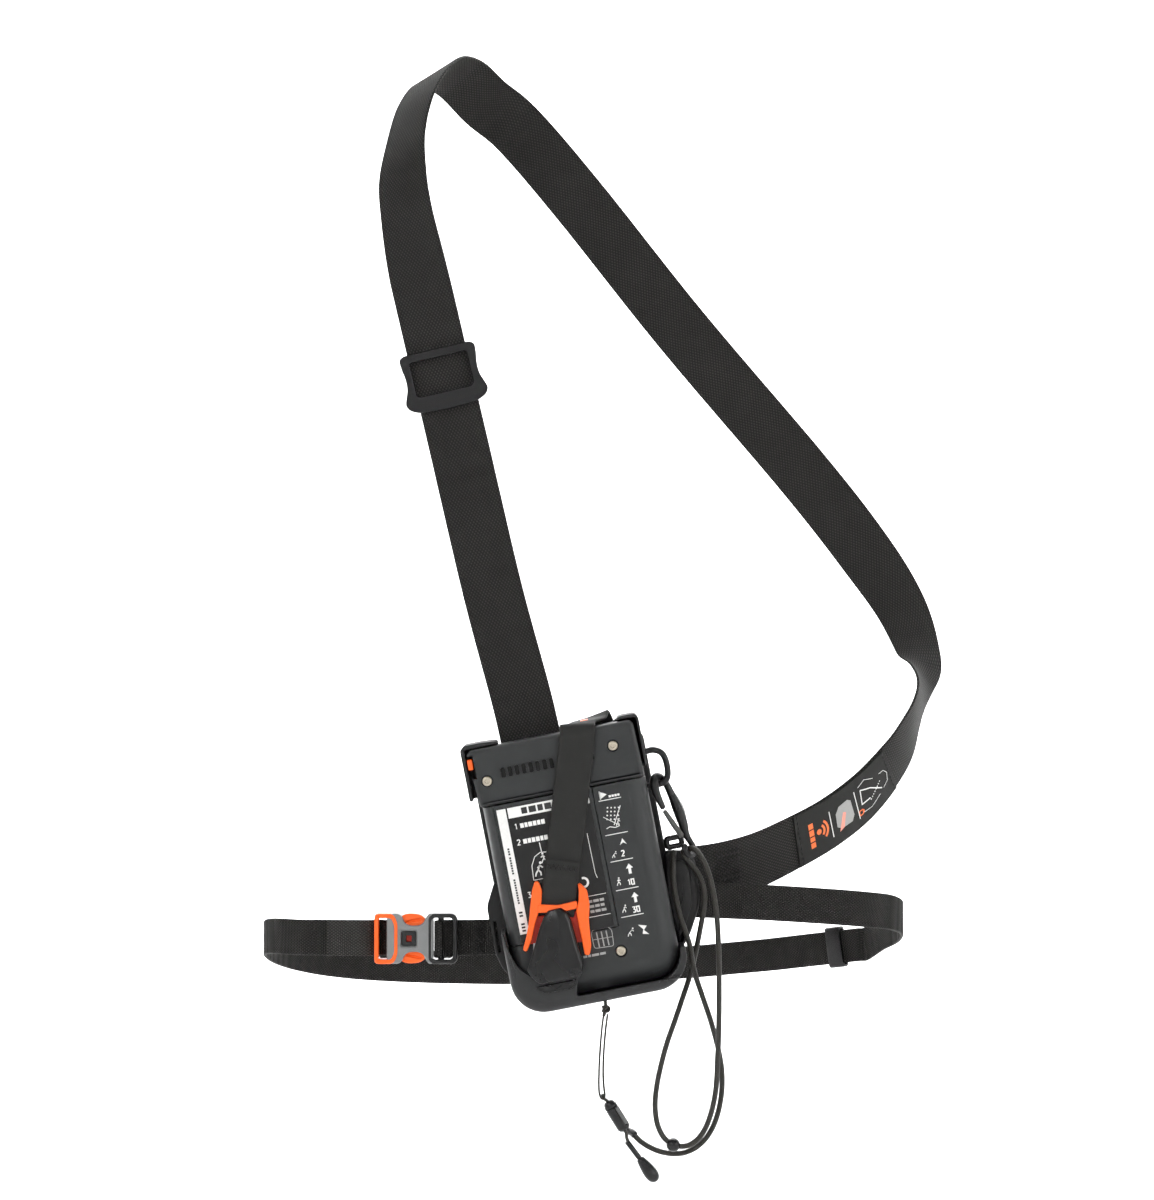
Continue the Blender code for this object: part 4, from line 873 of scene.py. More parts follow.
def make_buckle_frame():
    """The dark frame and bar that hold the tab's webbing."""
    reach = BUCKLE_HALF + 0.1
    ring = belt_block("buckle_frame", rounded_box(-62.9, -50.4, -reach, reach, 2.8), -BUCKLE_DEEP - 0.1,
                      BUCKLE_DEEP + 0.1, "frame")
    change(ring, belt_block("frame_window", rounded_box(-61, -52.3, -8.7, 8.7, 1.6), -BUCKLE_DEEP - 3,
                            BUCKLE_DEEP + 3))
    done(settle(ring, 0.75, 4), "grey")
    points = [Vector((-57.4, BELT_Y + 0.2, BELT_Z + z)) for z in (-9, -4, 0, 4, 9)]
    done(tube("buckle_bar", points, 1.3, "frame"), "grey")


def make_buckle_ladder():
    """The orange half, with its tongue coloured red as painted shade on its orange plastic, and its two
    prongs.
    """
    ladder = [(-85.2, -BUCKLE_HALF), (-77.2, -BUCKLE_HALF), (-75.4, -6.8), (-75.4, 6.8),
              (-77.2, BUCKLE_HALF), (-85.2, BUCKLE_HALF)]
    male = belt_block("buckle_ladder", soften(ladder, 1.8), -4.1, 2.2, "orange")
    gap = [(-83.4, -8.6), (-78.2, -8.6), (-76.9, -5.8), (-76.9, 5.8), (-78.2, 8.6), (-83.4, 8.6)]
    change(male, belt_block("ladder_gap", soften(gap, 1), -6.5, 8.5))
    done(settle(male, 0.5, 3), "orange", "buckle_male")
    # The tongue's red is painted shade on its orange plastic.
    tongue = belt_place(rounded_box(-76.4, -62, -2.7, 2.7, 1))
    done(slab("buckle_tongue", tongue, BELT_Y - 1.5, BELT_Y + 1.5, 0.5, "red", False), "orange")
    arm = [(-76.2, 5), (-76.2, 7.6), (-74.6, 8.2), (-73.4, 9.9), (-70.6, 10.5), (-66.4, 10.2), (-63.9, 8.6)]
    arm += [(-63.7, 6), (-66, 4.6), (-71.6, 4.4)]
    groove = [(-72.6, 6.4), (-72, 7.2), (-66, 8.6), (-65.6, 7.6)]
    for name, side in {"prong_upper": 1, "prong_lower": -1}.items():
        shape = anticlockwise(soften([(x, side * z) for x, z in arm], 1.5))
        prong = belt_block(name + "_arm", shape, -2.2, 2.2, "orange")
        shape = soften(anticlockwise([(x, side * z) for x, z in groove]), 0.4)
        change(prong, belt_block(name + "_groove", shape, -5, -1.5))
        done(settle(prong, 0.5, 3), "orange", "buckle_" + name, body=name)


# ---- casing

def case_ring(outline_box, radii, insets, y):
    """A rounded rectangle with its own inset on each side: left, right, bottom, top."""
    left, right, low, high = outline_box
    a, b, c, d = insets
    corners = (radii[0] - min(a, c) * 0.5, radii[1] - min(b, c) * 0.5, radii[2], radii[3])
    return at_depth(rounded_box(left + a, right - b, low + c, high - d, corners, 10), y)


def shell_rings(outline_box, radii, rim, face, reach, start, steps=8):
    """Rings from the rim to a face whose edges are rounded over a distance of their own on each side."""
    rings = [case_ring(outline_box, radii, (0, 0, 0, 0), y) for y in (rim, start)]
    for t in [pi / 2 * i / steps for i in range(1, steps + 1)]:
        insets = [side * (1 - cos(t)) for side in reach]
        rings.append(case_ring(outline_box, radii, insets, start + (face - start) * sin(t)))
    return rings


def well(name, x, z, start, depth, radius, sides=32):
    """A round cutter, square to the casing's faces."""
    return turned(name, Vector((x, start, z)), DEEPER, [(0, radius), (depth, radius)], None, True, sides)


def make_rear_shell():
    outline_box = (-CASE_HALF, CASE_HALF, CASE_BOTTOM, CAP_SEAM)
    radii = (CASE_RADIUS, CASE_RADIUS, 0.4, 0.4)
    reach, start = (4.6, 8.6, 11, 0), -20.6

    def outer():
        return shell_rings(outline_box, radii, REAR_RIM, LABEL_FACE, reach, start)

    rings = outer()[::-1]
    for insets, y in (((CASE_WALL,) * 4, REAR_RIM), ((3.2, 3.8, 4.2, CASE_WALL), -21.5),
                      ((6, 10, 12, 2), -24.6)):
        rings.append(case_ring(outline_box, radii, insets, y))
    shell = skin("rear_housing", rings, "housing", True)
    change(shell, box("rail_cut", (-40, -32, COVER_BOTTOM - 0.25), (-31.2, -22.2, 40)))
    change(shell, box("cover_cut", (-31.5, -32, COVER_BOTTOM - 0.25), (COVER_RIGHT + 0.25, -26.1, 40)))
    x, z, _ = SCREWS["screw_lower"]
    change(shell, well("screw_well", x, z, -32, 9, 2.5))
    done(settle(shell, 0.3, 2, 50), "housing", "rear_shell")
    cover = skin("battery_lid", outer(), "cover", True)
    low, high = (-40, -32, COVER_BOTTOM), (COVER_RIGHT, -22.5, CAP_SEAM - 0.05)
    change(cover, box("lid_part", low, high), "INTERSECT")
    change(cover, box("lid_hollow", (-31.6, -26.4, -60), (40, -10, 60)))
    done(settle(cover, 0.3, 3, 50), "cover", "battery_cover")


def make_front_shell():
    """The half with the display, which faces the back plate, its buttons and its window."""
    outline_box = (-CASE_HALF, CASE_HALF, CASE_BOTTOM, CASE_TOP)
    radii, rim = (CASE_RADIUS, CASE_RADIUS, 4, 4), -14.9
    rings = shell_rings(outline_box, radii, rim, -3.1, (3, 3, 3, 3), -6)[::-1]
    rings += [case_ring(outline_box, radii, (CASE_WALL,) * 4, rim),
              case_ring(outline_box, radii, (3.4,) * 4, -5)]
    shell = skin("front_housing", rings, "housing", True)
    change(shell, block("display_cut", rounded_box(-21, 21, 4, 40, 1.5), -6, -2))
    for x in BUTTONS.values():
        change(shell, well("button_cut" + str(x), x, BUTTON_Z, -6, 4, 5.3, 40))
    done(settle(shell, 0.3, 2, 50), "housing", "front_shell")
    profile = [(0, 4.3), (0.3, 4.7), (2.4, 4.9), (3.2, 4.85), (3.6, 4.5), (3.8, 3.8), (3.75, 2.6),
               (3.6, 1.2), (3.55, 0.3)]
    for name, x in BUTTONS.items():
        cap = turned(name + "_cap", Vector((x, -7, BUTTON_Z)), DEEPER, profile, "rubber", True)
        done(cap, "rubber", name, body=name)


def make_head_cap():
    """The cap over the antennas, with a notch for the switch and a row of grip ribs."""
    outline = [(-34.9, 30.95), (34, 30.95), (33.5, 53.4), (32, 54.9), (-34.9, 54.9), (-36.6, 53.2)]
    outline = anticlockwise(soften(outline, 1.2))
    edge = 1.9
    turns = [pi / 2 * i / 6 for i in range(7)]
    rings = [at_depth(inset(outline, edge * (1 - sin(t))), CAP_FACE + edge * (1 - cos(t))) for t in turns]
    rings += [at_depth(outline, REAR_RIM), at_depth(inset(outline, CASE_WALL), REAR_RIM)]
    rings += [at_depth(inset(outline, 2.2), CAP_FACE + 2.2)]
    cap = skin("head_cover", rings, "housing", True)
    change(cap, box("switch_cut", (-40, -32, 42.9), (-34, -10, 52.6)))
    for name in ("screw_head_left", "screw_head_right"):
        x, z, _ = SCREWS[name]
        change(cap, well(name + "_well", x, z, -32, 12, 2.5))
    done(settle(cap), "housing", "head_cap")
    ribs = [rounded_box(-23.8 + 2.9 * i, -22 + 2.9 * i, 41.4, 45.6, 0.6, 4) for i in range(8)]
    ribs += [rounded_box(13.4, 15.2, 41.6, 45.8, 0.6, 4)]
    for i, rib in enumerate(ribs):
        done(slab("grip_rib_" + str(i + 1), rib, CAP_FACE - 0.8, CAP_FACE + 0.3, 0.3, "mark"), "housing")


def make_screws():
    """Domed heads with a six-lobed socket."""
    turns = [2 * pi * i / 48 for i in range(48)]
    for name, (x, z, face) in SCREWS.items():
        start = Vector((x, face + 0.1, z))

        def ring(deep, radius, lobes=0):
            middle = start + Vector((0, deep, 0))
            return [middle + Vector((cos(t), 0, sin(t))) * radius * (1 + lobes * cos(6 * t)) for t in turns]

        rings = [ring(8.5, 0.8), ring(8, 1.1), ring(1.7, 1.1), ring(1.6, 2), ring(0.5, 2.05), ring(0.2, 1.95)]
        rings += [ring(0.02, 1.7), ring(-0.05, 1.35), ring(-0.05, 1, 0.12), ring(0.1, 0.92, 0.14)]
        rings += [ring(1, 0.86, 0.14), ring(1.05, 0.4)]
        done(skin(name + "_fine", rings, "nickel", True), "nickel", name)
        seat = [(0.9, 2.45), (0.9, 2.15), (1.3, 2.1), (1.3, 2.5)]
        rings = [[Vector((x + r * cos(t), face + d, z + r * sin(t))) for t in turns] for d, r in seat]
        done(skin(name + "_seat", rings, "mark", True, True), "housing")


def make_bumpers():
    left = [(-38.8, 34), (-37.2, 34), (-37.1, 55.3), (-23, 55.3), (-23.5, 56.6), (-30, 57.2)]
    left += [(-37, 57.2), (-38.9, 55.5)]
    right = [(34.65, 34.5), (35.9, 35.5), (36.1, 55.2), (34.6, 57), (28, 57), (27, 55.9)]
    right += [(27.2, 55.25), (34.65, 55.25)]
    for name, outline in {"corner_bumper_left": left, "corner_bumper_right": right}.items():
        done(slab(name + "_fine", soften(outline, 0.9, 3), -26.4, -4, 0.45, "rubber"), "rubber", name)
    webs = {"left": [(-37.9, 34.6), (-34.6, 34.6), (-32, 42), (-27.5, 48.5), (-22, 52.5), (-24, 56.4),
                     (-37.9, 56.4)],
            "right": [(33.6, 35.4), (35.4, 35.8), (35.4, 55.8), (26.8, 55.8), (21, 52), (27, 48),
                      (31.5, 41)]}
    for name, outline in webs.items():
        done(settle(block("bumper_web_" + name, anticlockwise(outline), -16.2, -4.1, "rubber")), "rubber")


def make_mode_switch():
    slider = slab("mode_slider", rounded_box(-36.7, -34.5, 46.9, 51.3, 0.5, 4), -28.3, -18, 0.45, "orange")
    for i in range(3):
        y = -26.4 + 2.6 * i
        change(slider, box("switch_groove" + str(i), (-37.5, y, 46), (-36.35, y + 0.9, 52)))
    done(settle(slider, 0.12, 2), "orange", "mode_switch", body="mode_switch")


# ---- holster

def make_back_plate():
    left, right, bottom = HOLSTER
    outline = rounded_box(left, right, bottom, 50, (14, 14, 5, 5), 10)
    plate = slab("back_plate", outline, -2.5, 0, 0.9, "plate")
    for i in range(7):
        low = -42 + 12.5 * i
        change(plate, block("back_groove" + str(i), rounded_box(-26, 26, low, low + 2.2, 1.1, 6), -0.6, 2))
    done(settle(plate, 0.25, 2, 40), "plate", "holster_back_plate")


def make_cup():
    left, right, bottom = HOLSTER
    outline_box = (left, right, bottom, CUP_TOP)
    rings = shell_rings(outline_box, (14, 14, 0.5, 0.5), -2.8, CUP_FRONT, (3.4, 3.4, 4.6, 0), -28, 8)
    cup = skin("cup", rings, "cup", True)
    hollow = CASE_HALF + 0.5
    space = rounded_box(-hollow, hollow, CASE_BOTTOM - 0.5, -10, (12.4, 12.4, 0.5, 0.5), 10)
    change(cup, block("cup_hollow", space, -29.3, 5))
    scoop = [(-38, -10), (-35.4, -24), (-34.4, -30), (-32.3, -36), (-28.5, -39.8), (-26.5, -41.2),
             (-6.5, -41.2), (-6.5, -10)]
    change(cup, block("cup_scoop", soften(anticlockwise(scoop), 2.5), -36, -27))
    window = [(-6.7, -5), (-6.7, -43), (-9.2, -46.5), (-10.3, -51), (-10.3, -52.4), (40, -52.4), (40, -5)]
    change(cup, block("cup_window", soften(anticlockwise(window), 0.8), -36, -28))
    change(cup, box("cup_side_cutter", (30, -36, -41), (40, 5, -5)))
    change(cup, box("lanyard_slot", (-0.4, -28.5, -60), (3.6, -24.5, -52)))
    done(settle(cup, 0.5, 3, 45), "cup", "holster_cup")
    pad = [(-26.4, -45.3), (-25.6, -47), (-22.8, -48.6), (-11.6, -48.6), (-9.8, -46.4), (-9.4, -45.3)]
    pad = block("cup_pad", soften(anticlockwise(pad), 0.8), -32.7, -31, "lever")
    done(settle(pad, 0.4, 3), "cup")


def make_wings():
    left = [(-36, -1.5), (-41.2, -11.5), (-41.4, -31), (-39.6, -38), (-36, -44), (-34, -40), (-34, -5)]
    wing = slab("wing_left", soften(left, 2), -4.7, -2.9, 0.6, "wing")
    slot = soften([(-40, -31.5), (-38.8, -31.5), (-38.4, -18), (-39.6, -18)], 0.5)
    change(wing, block("wing_slot", slot, -9, 2))
    done(settle(wing, 0.2, 2, 40), "wing", "belt_wing_left")
    right = [(35, -45), (40.5, -38.5), (46.8, -27), (48.4, -10), (46.5, -4.2), (36, -2), (33, -20)]
    done(slab("wing_right", soften(right, 2.6), -8.4, -4.6, 1.6, "wing"), "wing", "belt_wing_right")
    fold = [(35, -39.5), (39, -34.5), (43.8, -25.5), (45.2, -12), (43.8, -7.6), (36, -6), (34, -20)]
    done(slab("wing_flap", soften(fold, 2.6), -9.6, -7.9, 0.8, "wing"), "wing")


def closure_stations():
    """From behind the casing over the head cap and down its face; a point, then the way across."""
    stations = [(18.9, -1.4, 52.7, 0.955, 0, 0.295), (18.3, -1.3, 55.4, 0.955, -0.05, 0.29)]
    stations += [(17.6, -3.9, 57.9, 0.955, -0.2, 0.2), (16.2, -8.5, 57.2, 0.955, -0.295, 0)]
    stations += [(13.4, -17.5, 57, 0.955, -0.295, 0), (11.2, -25, 57.1, 0.955, -0.29, -0.03)]
    stations += [(10.7, -29.7, 56.5, 0.955, -0.2, -0.21), (10.2, -30.7, 53.8, 0.955, -0.03, -0.29)]
    return stations + [(9.2, -30.4, 50, *TAPE_ACROSS), (4.1, -30.4, 33.5, *TAPE_ACROSS),
                       (-10.9, -30.4, -13.4, *TAPE_ACROSS)]


def make_closure():
    frames, _ = ribbon_frames(closure_stations(), 0.8)
    done(strap("closure_tape", frames, 14.7, 1.5, "coated", True), "coated", "closure_strap", body="closure")
    double = [(-5.6, -31.35, 3.3, *TAPE_ACROSS), (-6.3, -31.7, 1.1, *TAPE_ACROSS),
              (-10.9, -31.75, -13.4, *TAPE_ACROSS)]
    double += [(-11.9, -31.6, -16.6, *TAPE_ACROSS), (-12.5, -30.6, -18.3, *TAPE_ACROSS)]
    end, _ = ribbon_frames(double, 0.8)
    done(strap("closure_tape_end", end, 14.5, 1.3, "coated", True), "coated", body="closure")
    sew("closure_stitching", end, zigzag(0.13, 13, 13, 0.05, 1.1), 0.72, "coated", lean=True, body="closure")


def make_catch():
    """The orange buckle at the closure's end: two arms, a bar, and behind them a red sheet that is painted
    shade inside the orange frame.
    """
    left = [(-17, -3), (-18.6, -2.6), (-20.4, -6), (-22.4, -12.4), (-24.2, -18.8), (-26.6, -25),
            (-28.8, -29.4)]
    left += [(-27.2, -30.4), (-24.2, -25.6), (-21.8, -19.8), (-19.4, -15.4), (-17.6, -12), (-16.4, -7)]
    right = [(-1.4, -6.8), (-0.2, -7.2), (1.8, -10.2), (1.7, -16.4), (0.2, -22.4), (-0.8, -33),
             (-2.2, -36.6)]
    right += [(-4.2, -36.2), (-4.2, -30), (-4.3, -23.4), (-4.2, -17.4), (-2.6, -14.4), (-1.6, -10)]
    bar = [(-19.4, -12), (-11, -14), (-3, -13.6), (-3.6, -16.8), (-11, -17), (-20.4, -15.4)]
    for name, outline, front in (("left", left, -33.6), ("right", right, -33.6), ("bar", bar, -33.9)):
        catch = block("catch_" + name, soften(anticlockwise(outline), 1, 4), front, -29.9, "orange")
        done(settle(catch, 0.55, 3), "orange", "closure_buckle", body="closure")
    # A red sheet put behind the catch as painted shade of the orange plastic; it stands for no part of its
    # own.
    shade_outline = [(-21.6, -17), (-3.9, -18), (-4.2, -31), (-25.8, -27.6)]
    done(slab("catch_painted_shade", soften(anticlockwise(shade_outline), 0.8), -31.4, -30, 0.3, "red"), "orange",
         body="closure")
    mark = soften([(12, 56.9), (15.6, 56.9), (15.4, 57.95), (12.2, 57.95)], 0.3)
    done(slab("closure_mark", mark, -21, -9.5, 0.3, "orange"), "orange", body="closure")


def make_lever():
    """A chunky tapered lever with a ridge down its middle and a straight outer side."""
    sections = [(-15.3, -15.4, -10.2, -33, -34.2, -35.2), (-17.6, -17.7, -7.9, -32.7, -34.6, -36.6)]
    sections += [(-21.4, -20, -6.9, -32.6, -34.9, -37.4), (-27, -22.8, -6.5, -32.4, -34.9, -37.9)]
    sections += [(-33, -25.8, -6, -32.1, -34.9, -38.2), (-37.8, -28.4, -5.4, -32.1, -34.9, -38.3)]
    sections += [(-40.6, -27.4, -5.2, -33, -34.9, -38.2), (-42.6, -25.8, -6, -33.8, -35.1, -37.7)]
    sections += [(-44.2, -24.4, -9, -34.4, -35.1, -36.2)]
    rings = []
    for z, left, right, back, edge, ridge in sections:
        middle = left + (right - left) * 0.6
        slope = (right - left) * 0.05
        ring = [(left, back, z), (left - 0.2, edge, z), (left + 1.2, edge - 0.9, z), (middle, ridge, z)]
        ring += [(right - 1, edge - 1.3, z), (right, edge, z + slope), (right, back, z + slope)]
        rings.append(ring)
    lever = skin("lever", rings, "lever", True)
    settle(lever, 0.5, 4, 14)
    room = 4.3
    profile = [(0, 2.3), (2 * room, 2.3)]
    change(lever, turned("lug_space", LEVER_POINT - LEVER_AXIS * room, LEVER_AXIS, profile, None, True))
    change(lever, box("lug_way", (LEVER_POINT.x - room, -34.2, -46), (LEVER_POINT.x + room, -30, -36)))
    done(settle(lever), "lever", "release_lever", body="lever")
    side, _ = frame_of(LEVER_AXIS, (0, -1, 0))
    up = side.cross(LEVER_AXIS)
    turns = [radians(-100 + 200 * i / 16) for i in range(17)]
    reach = [side * 1.9 * cos(t) + up * 1.9 * sin(t) for t in turns]
    reach += [side * -3.2 + up * 2.2, side * -3.2 - up * 2.2]
    ends = (LEVER_POINT - LEVER_AXIS * 3.8, LEVER_POINT + LEVER_AXIS * 3.8)
    lug = skin("lever_lug", [[end + point for point in reach] for end in ends], "cup", True)
    done(settle(lug, 0.25, 2), "cup")


# ---- leash hardware

def hook_point(across, down):
    """A point of the snap hook, which hangs turned about its own length."""
    side = Vector((-HOOK_DOWN.z, 0, HOOK_DOWN.x))
    tilted = side * cos(HOOK_TILT) + Vector((0, 1, 0)) * sin(HOOK_TILT)
    return HOOK_ORIGIN + tilted * across + HOOK_DOWN * down


def hook_bar(name, shape, radius, step, look, *nodes, body="holster"):
    """A round bar of the hook; a point is across, down and its own radius."""
    path = smooth_curve([(*hook_point(across, down), thick) for across, down, thick in shape], step)
    done(tube(name, path, radius, look, True), "gate" if body == "gate" else "hook", *nodes, body=body)


def make_leash_hardware():
    points = [(33, 40.2), (36.5, 40.2), (39.5, 40.3), (42.6, 38.6), (43.9, 35.3), (43.9, 30.4), (42.7, 27.2)]
    points += [(40, 25.9), (34.7, 25.9)]
    path = smooth_curve(at_depth(points, -16), 0.8)
    done(tube("d_loop_bar", path, 1.35, "wire", True), "wire", "d_loop")
    ring = rounded_box(37.6, 44.4, -1.6, 2.6, 1.2, 8)
    turns = [2 * pi * i / 16 for i in range(16)]
    rings = [at_depth(inset(ring, 0.3 - 1.2 * cos(t)), -8.1 + 1.1 * sin(t)) for t in turns]
    done(skin("cord_ring", rings, "gloss", True, True), "gloss", "leash_ring")
    shape = [(-4.2, 9.6, 1.2), (-4.5, 5, 1.5), (-4.1, 1, 1.8), (-2.5, -2.1, 1.9), (0, -3.2, 1.8)]
    shape += [(2.5, -2.1, 1.6), (4.2, 1, 1.5), (4.7, 6, 1.7), (4.8, 13, 2.3), (4.1, 19, 2.1)]
    shape += [(3, 23.5, 1.6), (3.6, 27, 1.3), (4.1, 29.6, 1.3), (3, 32, 1.3), (0.9, 32.5, 1.3)]
    shape += [(-1.2, 31.6, 1.3), (-1.9, 29.4, 1.3), (-0.9, 27.4, 1.2)]
    hook_bar("hook_body", shape, 1.3, 0.7, "hook", "snap_hook")
    inlay = [(5.4, 5, 1), (6, 9, 1.5), (6.2, 13, 1.8), (5.6, 17, 1.6), (4.6, 21, 1)]
    hook_bar("hook_spine", inlay, 1.3, 0.7, "gate")
    gate = [(-0.3, 23.4, 1.15), (-2.2, 17.4, 1.2), (-4.2, 11, 0.95)]
    hook_bar("hook_gate", gate, 1, 0.8, "gate", "snap_hook_gate", body="gate")


# ---- prints

def prism(work, outline, place, turn):
    """Adds one flat patch of ink: outline in the print's own plane, place turns it into a point."""
    rows = [[work.verts.new(turn @ place(u, v, lift) * MM) for u, v in outline] for lift in (0, INK_DEPTH)]
    count = len(outline)
    for i in range(count):
        j = (i + 1) % count
        work.faces.new((rows[0][i], rows[0][j], rows[1][j], rows[1][i]))
    work.faces.new(rows[0])
    work.faces.new(rows[1])


def stroke(points, width, closed=False):
    """A line of ink as quads that share their corners."""
    points = [Vector(point) for point in points]
    sides = []
    for i, here in enumerate(points):
        before = points[i - 1] if i or closed else here
        after = points[(i + 1) % len(points)] if i < len(points) - 1 or closed else here
        first = (here - before).normalized() if before != here else (after - here).normalized()
        second = (after - here).normalized() if after != here else first
        normal = Vector((-first.y, first.x)) + Vector((-second.y, second.x))
        normal = normal / max(normal.length_squared / 2, 0.6)
        sides.append((here + normal * width / 2, here - normal * width / 2))
    pairs = list(zip(sides, sides[1:])) + ([(sides[-1], sides[0])] if closed else [])
    return [[a[0], a[1], b[1], b[0]] for a, b in pairs]


def strokes(*lines):
    """Several lines of ink, each with its width before its points."""
    return [quad for width, *points in lines for quad in stroke(points, width)]


def patch(outline):
    return [list(outline)]


def tile(left, low, right, high):
    """One rectangle of ink."""
    return patch([(left, low), (right, low), (right, high), (left, high)])


def bars(left, top, widths, height, gap=0.5):
    """A row of solid bars, which stands for a line of words."""
    result = []
    for width in widths:
        result += tile(left, top - height, left + width, top)
        left += width + gap
    return result


DIGITS = {
    "0": [[(0, 0), (1, 0), (1, 1.6), (0, 1.6), (0, 0)]], "1": [[(0.15, 1.3), (0.55, 1.6), (0.55, 0)]],
    "2": [[(0, 1.4), (0.2, 1.6), (0.8, 1.6), (1, 1.3), (1, 1.05), (0, 0), (1, 0)]],
    "3": [[(0, 1.6), (1, 1.6), (0.5, 0.95), (1, 0.6), (1, 0.2), (0.8, 0), (0, 0)]],
}


def figures(text, x, z, size, width):
    result = []
    for letter in text:
        for line in DIGITS[letter]:
            result += stroke([(x + size * u * 0.8, z + size * v) for u, v in line], width)
        x += size * (1.25 if letter != "1" else 1.05)
    return result


def arrow(x, z, size):
    """An upright arrow with a broad head."""
    shape = [(-0.28, -1), (0.28, -1), (0.28, 0.1), (0.7, 0.1), (0, 1), (-0.7, 0.1), (-0.28, 0.1)]
    return patch([(x + size * u, z + size * v) for u, v in shape])


def disc(x, z, radius, sides=12):
    turns = [2 * pi * i / sides for i in range(sides)]
    return patch([(x + radius * cos(t), z + radius * sin(t)) for t in turns])


def walker(x, z, size, bend):
    """A small striding figure; bend leans it forwards."""
    neck = (0.08 + bend, 1.05)
    lines = [[(0, 0.5), (0.1 + bend, 1.1)], [(0, 0.5), (-0.35, 0.05), (-0.5, -0.35)],
             [(0, 0.5), (0.3, 0.1), (0.28, -0.35)], [neck, (0.45 + bend, 0.7)], [neck, (-0.3 + bend, 0.75)]]
    result = []
    for line in lines:
        result += stroke([(x + size * u, z + size * v) for u, v in line], 0.2 * size)
    return result + disc(x + size * (0.16 + bend * 1.3), z + size * 1.4, 0.2 * size)


def ink(name, shapes, look, place, lean=False, slot="label"):
    work = bmesh.new()
    turn = UPRIGHT if lean else Matrix.Identity(3)
    for shape in shapes:
        prism(work, shape, place, turn)
    return done(mesh_piece(name, work, look), slot)


def on_film(u, v, lift):
    return Vector((u, FILM - lift, v))


def on_case(u, v, lift):
    return Vector((u, LABEL_FACE + 0.03 - lift, v))


def make_film_prints():
    """The label's film and its prints: bars for words, plain numbers and two climbers."""
    film = slab("instruction_film", rounded_box(-28.9, 9.9, -27.2, 28.9, 0.8, 4), FILM, LABEL_FACE, 0.1,
                "label")
    done(film, "label", "instruction_label")
    white = tile(-28.7, -23.4, -24.9, 28.7) + tile(-24.2, 24.4, 9.7, 28.7)
    black = bars(-18.6, 27.9, (2.4, 3, 2.2, 2.8, 2.4, 3.2, 2.4, 2.6), 2.6, 0.7)
    words = ((-22.4, 1.5, 3), (-16.2, 1.5, 2), (-10.8, 0.8, 7), (-3.4, 0.8, 3), (1.6, 0.8, 7), (9.6, 0.8, 3))
    for low, wide, count in words:
        for i in range(count):
            z = low + i * 1.06 * (1.3 if wide > 1 else 1)
            black += tile(-26.8 - wide / 2, z, -26.8 + wide / 2, z + 0.75)
    white += bars(-20.2, 21.6, (1.5, 1.2, 1.6, 1.4, 1.3, 1.5), 1.9, 0.35)
    white += bars(-20.2, 15, (1.6, 1.3, 1.4, 1.5, 1.2, 1.5), 1.9, 0.35)
    for digit, x, z in (("1", -22.4, 19.6), ("2", -22.6, 13), ("3", -22.4, -9)):
        white += figures(digit, x, z, 1.3, 0.42)
    white += walker(-16.4, 0, 3, 0.25) + walker(-13.2, 4.6, 2.2, -0.2)
    white += strokes((0.28, (-19, -2.4), (-18.6, 3.6), (-16.8, 7), (-14.2, 8.4), (-11, 8)),
                     (0.28, (-19, -2.4), (-12.6, -2.4)), (0.35, (-13.8, 12.4), (-13.6, 8.6)),
                     (0.9, *arc((0.9, -7.2), 1.9, 100, -130, 10)),
                     (0.22, (6.2, 12.4), (6.4, -4.2), (6.9, -6.4)), (0.22, (0.2, -13.2), (9.2, -13.2)),
                     (0.22, (-1, -21.8), (9.4, -21.8)))
    grey = []
    for z, widths in ((-14.9, (1.6, 2.3, 1.8)), (-17, (2, 1.9, 1.6)), (-19.1, (1.7, 2.2, 2))):
        grey += bars(1.4, z, widths, 1.1, 0.4)
    ink("film_print_white", white, "white", on_film, True)
    ink("film_print_grey", grey, "grey ink", on_film, True)
    ink("film_print_black", black, "black ink", lambda u, v, lift: on_film(u, v, lift + INK_DEPTH), True)


